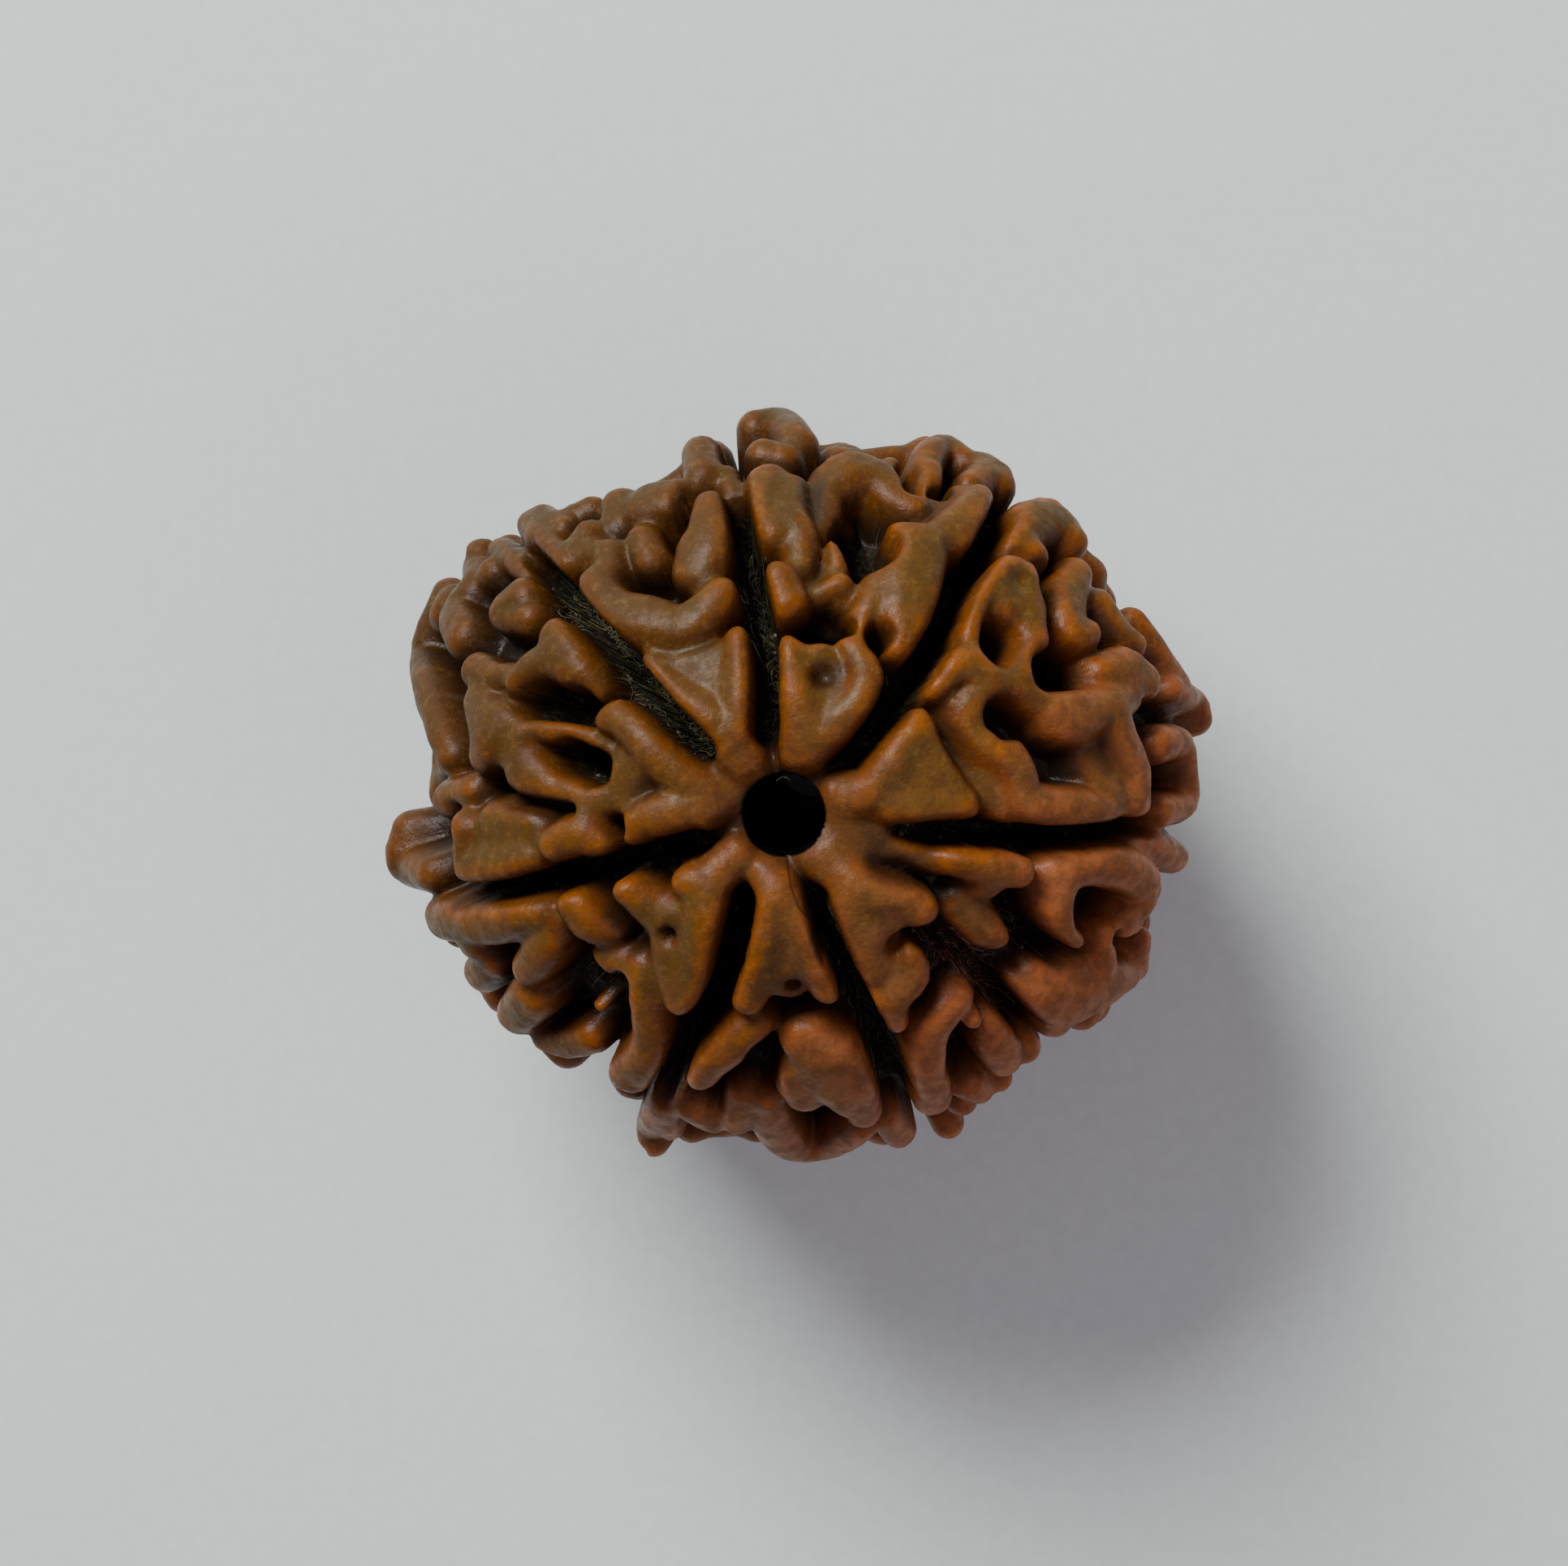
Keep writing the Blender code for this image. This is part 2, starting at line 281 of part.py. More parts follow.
PITS = {
    "north_wedge_gap": [(1000, 765, 0.3, 3.0), (1045, 762, 0.2, 2.8)],
    "north_wedge_notch": [(1090, 775, 0.22, 2.6)],
    "north_deep": [(1062, 636, 0.6, 3.8), (1080, 660, 0.6, 3.8)],
    "north_notch": [(1122, 560, 0.14, 2.2), (1130, 588, 0.14, 2.0)],
    "north_west_gap": [(843, 596, 0.12, 1.8), (833, 640, 0.14, 1.8)],
    "east_strip": [(1300, 690, 0.2, 2.0), (1303, 720, 0.2, 2.2)],
    "east_deep": [(1305, 818, 0.45, 3.6), (1340, 812, 0.42, 3.6)],
    "east_bay": [(1240, 872, 0.3, 2.3), (1250, 892, 0.3, 2.3)],
    "east_eye": [(1438, 876, 0.32, 2.6)],
    "south_east_crescent": [(1272, 1128, 0.25, 2.6), (1290, 1165, 0.3, 3.0), (1330, 1192, 0.25, 2.8)],
    "south_east_cup": [(1352, 1130, 0.42, 2.8)],
    "south_east_gap": [(1198, 1300, 0.3, 3.0), (1190, 1330, 0.2, 2.8)],
    "south_pit": [(940, 1320, 0.35, 3.0), (938, 1350, 0.3, 3.0)],
    "south_slot": [(1005, 1395, 0.2, 2.6), (1032, 1393, 0.2, 2.6)],
    "south_gap": [(960, 1262, 0.25, 2.8), (1035, 1262, 0.2, 2.6)],
    "south_west_deep": [(703, 1222, 0.5, 3.5), (712, 1238, 0.5, 3.5)],
    "south_west_slot": [(750, 1225, 0.16, 2.6), (752, 1252, 0.16, 2.6)],
    "west_slot": [(640, 860, 0.34, 3.0), (698, 862, 0.36, 3.2)],
    "west_deep": [(682, 928, 0.34, 3.2), (712, 944, 0.4, 3.4)],
    "west_crease": [(612, 988, 0.1, 1.3), (688, 1000, 0.1, 1.5)],
    "west_end_crease": [(535, 1000, 0.12, 2.0), (545, 1040, 0.12, 1.8), (548, 1072, 0.12, 1.6)],
    "west_gap": [(748, 1022, 0.16, 1.8)],
    "north_wedge": [(1016, 826, 0.24, 0.75)],
    "north_ring": [(1166, 588, 0.2, 2.4)],
    "east_slot": [(1238, 768, 0.2, 2.6), (1232, 798, 0.2, 2.6)],
    "east_window": [(1437, 968, 0.15, 2.2)],
    "south_east_notch": [(1391, 1160, 0.12, 2.0)],
    "south_east_wedge": [(1110, 1172, 0.2, 0.8)],
    "south_lip": [(976, 1229, 0.16, 1.0)],
    "south_west_wedge": [(816, 1161, 0.16, 0.8)],
    "west_hole": [(605, 790, 0.18, 2.2)],
}

# The bead seen from above, as pixels of the picture
OUTLINE = (
    (1492, 885), (1480, 960), (1466, 1055), (1445, 1110), (1412, 1210), (1370, 1262), (1285, 1300),
    (1240, 1335), (1188, 1392), (1120, 1415), (1045, 1415), (985, 1436), (910, 1405), (805, 1420),
    (742, 1345), (640, 1287), (582, 1225), (515, 1145), (482, 1065), (485, 1005), (530, 935),
    (510, 830), (520, 745), (575, 663), (655, 620), (745, 600), (825, 572), (870, 530),
    (925, 497), (985, 507), (1050, 542), (1100, 555), (1165, 532), (1248, 562), (1320, 612),
    (1343, 665), (1400, 755), (1455, 815),
)

# The rule for the girdle and the underside, angles in degrees
UNDER_SEED = 11
UNDER_ROWS = (84.0, 93.0, 102.0, 112.0, 123.0, 134.0, 145.0)  # polar angle of each row of knobs
KNOB_CLEARANCE = 0.25  # a knob is left out where a ridge of the upper side stands nearer, in mm
UNDER_HUB = (2.5, 0.95)  # half width and drop of the lump round the lower mouth of the bore, in mm
UNDER_WEDGE = (163.0, 151.0)  # polar angles of a wedge's root and of its two tips
WEDGE_HALF = (0.6, 0.75)  # half widths of a wedge's two arms and of the pad between them, in mm
WEDGE_DROP = 0.45  # of its root and its pad, in mm
WEDGE_SPREAD = 0.24  # from its middle to a tip, as a share of its face
WEDGE_JITTER = 2.0  # largest random shift of a tip towards a pole
SHOULDER_RISE = (0.28, 0.4)  # how far a wedge's tips stand out past the other crests: the bead rests on them
KNOB_HALF_WIDTH = (0.55, 0.85)
KNOB_DROP = (0.1, 0.6)
KNOB_SPACING = 2.5
KNOB_SWAY = 4.0  # largest random shift of a knob round the bore
KNOB_JITTER = 3.0  # the same towards a pole
LINK_CHANCE = 0.62
LINK_HALF = 0.75  # half width of a link as a share of its knob's
LINK_DROP = 0.2  # how much lower than its knobs it runs, in mm
GROOVE_HALF = 0.75  # from a groove's middle to the first knob's flank
UNDER_GROOVE = [  # polar angle, half width and floor's depth
    (95.0, 0.22, 2.8), (120.0, 0.22, 3.3), (150.0, 0.22, 3.2), (163.0, 0.22, 1.6),
]

MARCH_START = 1.2  # how far outside the crests the search for the surface starts, in mm
MARCH_STEP = 0.05
MARCH_DEPTH = 4.4
HALVINGS = 7


def unit(vector):
    return vector / np.linalg.norm(vector, axis=-1, keepdims=True)


def view_axes():
    """Unit vectors of the reference picture: right, up, and from the bead to the camera."""
    lean_x, lean_y = (math.tan(math.radians(angle)) for angle in VIEW_LEAN)
    towards = unit(np.array((lean_x, lean_y, 1.0)))
    right = unit(np.cross(np.array((0.0, 1.0, 0.0)), towards))
    return right, np.cross(towards, right), towards


def crest_at_pixel(across, down, drop):
    """The point, from the bead's middle, that lies a drop behind the crest ellipsoid on a pixel's sight
    line. Past the outline the drop starts where the line passes nearest."""
    right, up, towards = view_axes()
    aside, below = (BEAD_PIXEL[i] - PICTURE_MIDDLE[i] for i in (0, 1))
    eye = (up * below - right * aside) / PIXELS_PER_MM + towards * VIEW_DISTANCE
    focal = PIXELS_PER_MM * VIEW_DISTANCE
    sight = right * (across - PICTURE_MIDDLE[0]) / focal - up * (down - PICTURE_MIDDLE[1]) / focal - towards
    start, step = eye / CREST_AXES, sight / CREST_AXES
    half_b, square = start @ step, step @ step
    inside = half_b**2 - square * (start @ start - 1.0)
    return eye + sight * ((-half_b - math.sqrt(max(inside, 0.0))) / square + drop)


def edge_on(across, down):
    """A ridge near the outline is seen edge-on: its crest is further out than the middle of what shows."""
    x, y = across - BEAD_PIXEL[0], down - BEAD_PIXEL[1]
    out = math.hypot(x / CREST_AXES[0], y / CREST_AXES[1]) / PIXELS_PER_MM
    stretch = 1.0 + EDGE_STRETCH * min(out, 1.05) ** 6
    return BEAD_PIXEL[0] + x * stretch, BEAD_PIXEL[1] + y * stretch


def outline_share(rays):
    """How far the bead's outline reaches on the side of each ray, as a share of the crest ellipse."""
    x = np.array([across - BEAD_PIXEL[0] for across, _ in OUTLINE]) / PIXELS_PER_MM / CREST_AXES[0]
    y = np.array([BEAD_PIXEL[1] - down for _, down in OUTLINE]) / PIXELS_PER_MM / CREST_AXES[1]
    turns = np.arctan2(rays[:, 1] / CREST_AXES[1], rays[:, 0] / CREST_AXES[0])
    return np.interp(turns, np.arctan2(y, x), np.hypot(x, y), period=math.tau)


def crest_radius(rays):
    """Distance from the bead's middle to the crests along unit vectors: an ellipsoid that takes on the
    outline's shape towards the equator."""
    level = (1.0 - rays[:, 2] ** 2) ** 3
    return (1.0 + level * (outline_share(rays) - 1.0)) / np.linalg.norm(rays / CREST_AXES, axis=-1)


def smooth_line(points):
    """Points on a spline through a line of points, each with its width and depth."""
    if len(points) < 3:
        return points
    ends = np.array([2 * np.array(points[0]) - points[1], *points, 2 * np.array(points[-1]) - points[-2]])
    line = [ends[1]]
    for before, start, stop, after in zip(ends, ends[1:], ends[2:], ends[3:]):
        for i in range(1, SPLINE_STEPS + 1):
            t = i / SPLINE_STEPS
            square = (2 * before - 5 * start + 4 * stop - after) * t**2
            cube = (3 * start - before - 3 * stop + after) * t**3
            line.append(start + ((stop - before) * t + square + cube) / 2)
    return line


def ridge_from_pixels(points):
    """A ridge as unit vectors, crest distances and half widths."""
    points = smooth_line(points)
    crests = np.array([crest_at_pixel(*edge_on(across, down), drop) for across, down, _, drop in points])
    return unit(crests), np.linalg.norm(crests, axis=1), np.array([half + WIDEN for _, _, half, _ in points])


def cut_from_pixels(points):
    """A groove or pit in the same form, its floor's depth measured straight down from the crests."""
    points = smooth_line(points)
    rays = unit(np.array([crest_at_pixel(across, down, 0.0) for across, down, _, _ in points]))
    return rays, crest_radius(rays) - np.array([p[3] for p in points]), np.array([p[2] for p in points])


def from_angles(points):
    """A ridge or cut from degrees round the bore, polar angle, half width and depth."""
    turn, polar = (np.radians([point[i] for point in points]) for i in (0, 1))
    rays = np.stack((np.cos(turn) * np.sin(polar), np.sin(turn) * np.sin(polar), np.cos(polar)), axis=1)
    return rays, crest_radius(rays) - np.array([p[3] for p in points]), np.array([p[2] for p in points])


def groove_turns():
    """Where each groove leaves the upper side, in degrees round the bore."""
    ends = [cut_from_pixels(points[-1:])[0][0] for points in GROOVE_LINES.values()]
    return sorted(math.degrees(math.atan2(end[1], end[0])) for end in ends)


def underside_grooves():
    return [from_angles([(turn, *point) for point in UNDER_GROOVE]) for turn in groove_turns()]


def knob_row(rng, polar, low, high):
    """A row of knobs across a face, as turn, polar angle, half width and drop."""
    width = math.radians(high - low) * CREST_AXES[0] * math.sin(math.radians(polar))
    count = max(2, round(width / KNOB_SPACING) + 1)
    row = []
    for i in range(count):
        sway = 0.0 if i in (0, count - 1) else rng.uniform(-KNOB_SWAY, KNOB_SWAY)
        turn = low + (high - low) * i / (count - 1) + sway
        shifted = polar + rng.uniform(-KNOB_JITTER, KNOB_JITTER)
        row.append((turn, shifted, rng.uniform(*KNOB_HALF_WIDTH), rng.uniform(*KNOB_DROP)))
    return row


def link(first, second):
    """A lower ridge from knob to knob."""
    ends = [(turn, polar, half * LINK_HALF, drop + LINK_DROP) for turn, polar, half, drop in (first, second)]
    return from_angles(ends)


def stands_free(knobs, ridges):
    """Whether each knob is clear of the ridges."""
    rays = from_angles(knobs)[0]
    free = np.ones(len(knobs), dtype=bool)
    for some, stretches in footprints(rays, ridges, REACH):
        for away, height, half in stretches:
            free[some] &= away * height > half + KNOB_CLEARANCE
    return free


def wedge(rng, middle, spread):
    """Two arms that part from one root, and a pad between them."""
    root, tips = UNDER_WEDGE
    arm, pad = WEDGE_HALF
    lines = [[(middle, (root + tips) / 2, pad, WEDGE_DROP)]]
    for turn in (middle - spread, middle + spread):
        polar = tips + rng.uniform(-WEDGE_JITTER, WEDGE_JITTER)
        lines.append([(middle, root, arm, WEDGE_DROP), (turn, polar, arm, -rng.uniform(*SHOULDER_RISE))])
    return [from_angles(line) for line in lines]


def underside_ridges(upper):
    """Knobs in rows on each face, linked at random into a net, and a wedge near the lower pole."""
    rng = random.Random(UNDER_SEED)
    ridges = [from_angles([(0.0, 180.0, *UNDER_HUB)])]
    turns = groove_turns()
    for start, end in zip(turns, turns[1:] + [turns[0] + 360.0]):
        above = []
        for polar in UNDER_ROWS:
            ring = CREST_AXES[0] * math.sin(math.radians(polar))
            margin = math.degrees((GROOVE_HALF + KNOB_HALF_WIDTH[0]) / ring)
            knobs = knob_row(rng, polar, start + margin, end - margin)
            knobs = [knob for knob, free in zip(knobs, stands_free(knobs, upper)) if free]
            ridges += [from_angles([knob]) for knob in knobs]
            ridges += [link(a, b) for a, b in zip(knobs, knobs[1:]) if rng.random() < LINK_CHANCE]
            ridges += [link(a, min(above, key=lambda b: abs(b[0] - a[0]))) for a in knobs
                       if above and rng.random() < LINK_CHANCE]
            above = knobs
        ridges += wedge(rng, (start + end) / 2, (end - start) * WEDGE_SPREAD)
    return ridges


def footprints(rays, shapes, reach):
    """For each ridge or cut: the rays it may touch and, for each of its stretches, how far aside they
    pass, its height there and its half width there."""
    found = []
    for heads, heights, halves in shapes:
        middle = unit(heads.mean(axis=0))
        spread = math.acos(min(1.0, (heads @ middle).min())) + (halves.max() + reach) / CREST_AXES.min()
        some = np.nonzero(rays @ middle > math.cos(spread))[0]
        if not len(some):
            continue
        stretches = []
        for i in range(max(1, len(heads) - 1)):
            j = min(i + 1, len(heads) - 1)
            along = heads[j] - heads[i]
            share = np.clip((rays[some] - heads[i]) @ along / max(along @ along, 1e-12), 0.0, 1.0)
            away = np.linalg.norm(rays[some] - unit(heads[i] + share[:, None] * along), axis=1)
            height = heights[i] + share * (heights[j] - heights[i])
            stretches.append((away, height, halves[i] + share * (halves[j] - halves[i])))
        found.append((some, stretches))
    return found


def wall_distance(radii, away, height, half):
    """Signed distance to a ridge: a wall with a crowned top and round shoulders, wider towards its foot."""
    shoulder = np.minimum(half, EDGE_ROUND)
    aside = away * radii - half - FLARE * np.maximum(height - radii, 0.0) + shoulder
    above = radii - height + shoulder + CROWN * np.minimum(away * radii, half) ** 2
    outside = np.hypot(np.maximum(aside, 0.0), np.maximum(above, 0.0))
    return outside + np.minimum(np.maximum(aside, above), 0.0) - shoulder


def cut_distance(radii, away, floor, half):
    """Signed distance to a cut: a slot with a round floor that widens towards the crests."""
    aside = away * radii - half - FLARE * np.maximum(radii - floor, 0.0) + half
    below = floor - radii + half
    outside = np.hypot(np.maximum(aside, 0.0), np.maximum(below, 0.0))
    return outside + np.minimum(np.maximum(aside, below), 0.0) - half


def smooth_minimum(a, b, size):
    mix = np.maximum(size - np.abs(a - b), 0.0) / size
    return np.minimum(a, b) - mix * mix * size / 4


def joined(distance, radii, found, measure, blend):
    """Adds ridges or cuts: the stretches of each one meet plainly, and it meets the rest in a fillet."""
    for some, stretches in found:
        nearest = np.min([measure(radii[some], *stretch) for stretch in stretches], axis=0)
        distance[some] = smooth_minimum(distance[some], nearest, blend)
    return distance


def surface_distance(radii, crests, walls, cuts):
    """Signed distance from a point on each ray to the bead's surface, bore left out."""
    solid = joined(radii - (crests - BODY_DEPTH), radii, walls, wall_distance, BLEND)
    return -joined(-solid, radii, cuts, cut_distance, CUT_BLEND)


def surface_radii(rays):
    """How far out each ray leaves the surface for good: marched inwards, then halved."""
    upper = [ridge_from_pixels(points) for face in FACES for points in face.values()]
    ridges = upper + underside_ridges(upper)
    cuts = [cut_from_pixels(points) for table in (GROOVE_LINES, PITS) for points in table.values()]
    shapes = footprints(rays, ridges, REACH), footprints(rays, cuts + underside_grooves(), REACH)
    crests = crest_radius(rays)
    outer = crests + MARCH_START
    open_air = np.ones(len(rays), dtype=bool)
    for _ in range(round((MARCH_START + MARCH_DEPTH) / MARCH_STEP)):
        open_air &= surface_distance(outer, crests, *shapes) > 0.0
        outer = np.where(open_air, outer - MARCH_STEP, outer)
    inner, outer = outer.copy(), outer + MARCH_STEP
    for _ in range(HALVINGS):
        middle = (inner + outer) / 2
        within = surface_distance(middle, crests, *shapes) < 0.0
        inner, outer = np.where(within, middle, inner), np.where(within, outer, middle)
    return (inner + outer) / 2


def raised_sphere():
    """A sphere whose vertices are moved along their rays to the surface."""
    mesh = bmesh.new()
    bmesh.ops.create_icosphere(mesh, subdivisions=SUBDIVISIONS, radius=1.0)
    rays = unit(np.array([vertex.co for vertex in mesh.verts]))
    places = (rays * surface_radii(rays)[:, None] + CENTRE) * MM
    for vertex, place in zip(mesh.verts, places):
        vertex.co = place
    data = bpy.data.meshes.new("rudraksha_bead")
    mesh.to_mesh(data)
    mesh.free()
    return data


def cutter(name, mesh, collection):
    data = bpy.data.meshes.new(name)
    mesh.to_mesh(data)
    mesh.free()
    tool = bpy.data.objects.new(name, data)
    tool.hide_render = True
    tool.display_type = "WIRE"
    collection.objects.link(tool)
    return tool


def bore_cutter(collection):
    mesh = bmesh.new()
    bmesh.ops.create_cone(mesh, cap_ends=True, segments=SIDES_OF_BORE, radius1=BORE_RADIUS * MM,
                          radius2=BORE_RADIUS * MM, depth=BORE_LENGTH * MM)
    bmesh.ops.translate(mesh, verts=mesh.verts, vec=CENTRE * MM)
    return cutter("bore_cutter", mesh, collection)


def ground_cutter(collection):
    """A box below the resting plane: what it takes off the lowest crests leaves small flat spots."""
    mesh = bmesh.new()
    bmesh.ops.create_cube(mesh, size=GROUND_SIZE * MM)
    bmesh.ops.translate(mesh, verts=mesh.verts, vec=(0, 0, -GROUND_SIZE / 2 * MM))
    return cutter("ground_cutter", mesh, collection)


def wood_material():
    material = bpy.data.materials.new("rudraksha_wood")
    material.use_nodes = True
    shader = material.node_tree.nodes["Principled BSDF"]
    shader.inputs["Base Color"].default_value = (0.24, 0.10, 0.04, 1.0)
    shader.inputs["Roughness"].default_value = 0.5
    shader.inputs["Metallic"].default_value = 0.0
    return material


def clear_scene():
    for old in list(bpy.data.objects):
        bpy.data.objects.remove(old)


def build_bead():
    parts = bpy.data.collections.new("rudraksha_bead")
    cutters = bpy.data.collections.new("cutters")
    for collection in (parts, cutters):
        bpy.context.scene.collection.children.link(collection)
    data = raised_sphere()
    data.materials.append(wood_material())
    bead = bpy.data.objects.new("rudraksha_bead", data)
    parts.objects.link(bead)
    thin = bead.modifiers.new("fewer_faces", "DECIMATE")
    thin.ratio = TRIANGLES / len(data.polygons)
    for tool in (bore_cutter(cutters), ground_cutter(cutters)):
        cut = bead.modifiers.new(tool.name, "BOOLEAN")
        cut.operation = "DIFFERENCE"
        cut.solver = "EXACT"
        cut.object = tool
    data.shade_smooth()
    return bead


if __name__ == "__main__":
    clear_scene()
    build_bead()
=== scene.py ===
import math
import random

import bmesh
import bpy
import numpy as np
from mathutils import Matrix, Vector, noise


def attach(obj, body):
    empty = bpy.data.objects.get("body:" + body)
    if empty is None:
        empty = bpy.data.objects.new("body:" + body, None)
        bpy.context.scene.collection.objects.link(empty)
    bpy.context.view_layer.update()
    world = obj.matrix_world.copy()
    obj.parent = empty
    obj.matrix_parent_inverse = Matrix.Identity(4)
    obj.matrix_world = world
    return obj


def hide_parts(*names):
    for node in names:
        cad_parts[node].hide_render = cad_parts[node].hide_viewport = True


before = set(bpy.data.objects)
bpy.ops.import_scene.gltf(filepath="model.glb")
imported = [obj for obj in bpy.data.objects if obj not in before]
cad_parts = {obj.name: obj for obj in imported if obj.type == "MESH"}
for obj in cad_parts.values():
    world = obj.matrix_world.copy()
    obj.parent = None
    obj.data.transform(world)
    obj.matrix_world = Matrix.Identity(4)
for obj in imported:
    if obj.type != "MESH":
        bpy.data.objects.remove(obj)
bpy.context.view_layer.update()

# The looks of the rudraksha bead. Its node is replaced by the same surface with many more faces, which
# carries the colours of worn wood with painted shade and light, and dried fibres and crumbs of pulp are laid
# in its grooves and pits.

MM = 0.001

# The bead, in millimetres
CREST_AXES = np.array((12.35, 11.45, 10.75))  # half sizes of the ellipsoid that the ridge crests reach
BODY_DEPTH = 1.8  # from the crests down to the body between the ridges
BORE_RADIUS = 1.18
CENTRE = np.array((0.0147, -0.0625, 9.99))  # middle of the crest ellipsoid: puts the origin under the bead
EDGE_ROUND = 0.56  # radius of a ridge's shoulder
CROWN = 0.12  # how much a ridge's top falls off to its sides, per mm squared
FLARE = 0.035  # how much a ridge widens towards its foot, and a cut towards its mouth
BLEND = 0.24  # size of the fillet where two ridges, or a ridge and the body, meet
CUT_BLEND = 0.42  # the same where a ridge is cut: it rounds the edge
SPLINE_STEPS = 3

# The reference picture: the camera looks down on the bead, a few degrees off its bore
PICTURE_MIDDLE = (966.0, 964.5)
BEAD_PIXEL = (986.0, 967.0)  # the middle of the bead's outline
PIXELS_PER_MM = 41.0
VIEW_DISTANCE = 180.0
VIEW_LEAN = (3.0, 5.0)  # degrees off the bore, towards +X and +Y
WIDEN = 0.09  # by how much a ridge is wider on each side than what was read from the picture
EDGE_STRETCH = 0.025  # how far out the crests of ridges on the outline are moved
EDGE_LIMIT = (1.05, 6)  # share of the way out at which that stops growing, and how steeply it grows
EQUATOR_HOLD = 3  # how closely the outline's shape is kept to the equator
REACH = 0.8  # how far from its flank a ridge or a cut is still felt, in mm

# Crests of the upper side: pixel across, pixel down, half width and depth below the crest ellipsoid, in mm
HUB = dict(
    hub=[(963, 1005, 2.35, 0.95)],
    hub_east=[(1040, 1015, 1.2, 0.85), (1085, 1035, 0.8, 0.85)],
    hub_north_west=[(885, 965, 1.1, 0.85)],
)

FACE_NORTH_NORTH_WEST = dict(
    wedge_left=[(794, 815, 0.3, 0.25), (830, 853, 0.42, 0.1), (870, 884, 0.55, 0.0), (905, 925, 0.6, 0.35),
                (925, 955, 0.6, 0.8)],
    wedge_right=[(909, 784, 0.45, 0.15), (911, 835, 0.5, 0.0), (909, 890, 0.55, 0.1)],
    wedge_pad=[(850, 825, 0.85, 0.45), (885, 850, 0.8, 0.35)],
    wedge_top=[(805, 812, 0.35, 0.4), (850, 812, 0.35, 0.5), (880, 800, 0.35, 0.45)],
    horn_ridge=[(748, 678, 0.4, 0.5), (735, 700, 0.55, 0.2), (725, 715, 0.6, 0.05), (745, 745, 0.7, 0.05),
                (785, 755, 0.75, 0.05), (830, 765, 0.7, 0.2), (862, 745, 0.6, 0.15), (883, 722, 0.5, 0.1)],
    horn_apron=[(800, 780, 0.6, 0.6), (850, 780, 0.6, 0.7)],
    tall_lobe=[(870, 614, 0.6, 0.0), (868, 648, 0.88, 0.05), (855, 688, 0.75, 0.3)],
    small_lobe=[(785, 655, 0.5, 0.5), (795, 680, 0.5, 0.6)],
    block_right=[(794, 609, 0.85, 0.25), (822, 604, 0.75, 0.2)],
    block_left=[(757, 612, 0.6, 0.5), (755, 640, 0.5, 0.8)],
    far_left=[(722, 620, 0.4, 1.0), (700, 632, 0.4, 1.0)],
    leaf=[(650, 640, 0.4, 0.2), (665, 665, 0.45, 0.2), (690, 690, 0.4, 0.4)],
    leaf_back=[(665, 632, 0.3, 0.5), (690, 645, 0.3, 0.6)],
    leaf_knob=[(718, 650, 0.45, 0.3), (705, 670, 0.6, 0.4)],
    leaf_link=[(720, 675, 0.5, 0.5), (745, 672, 0.4, 0.4)],
    top_knob=[(860, 545, 0.5, 0.0), (862, 575, 0.5, 0.2)],
    top_strip=[(893, 580, 0.35, 0.7), (905, 610, 0.3, 0.9)],
)

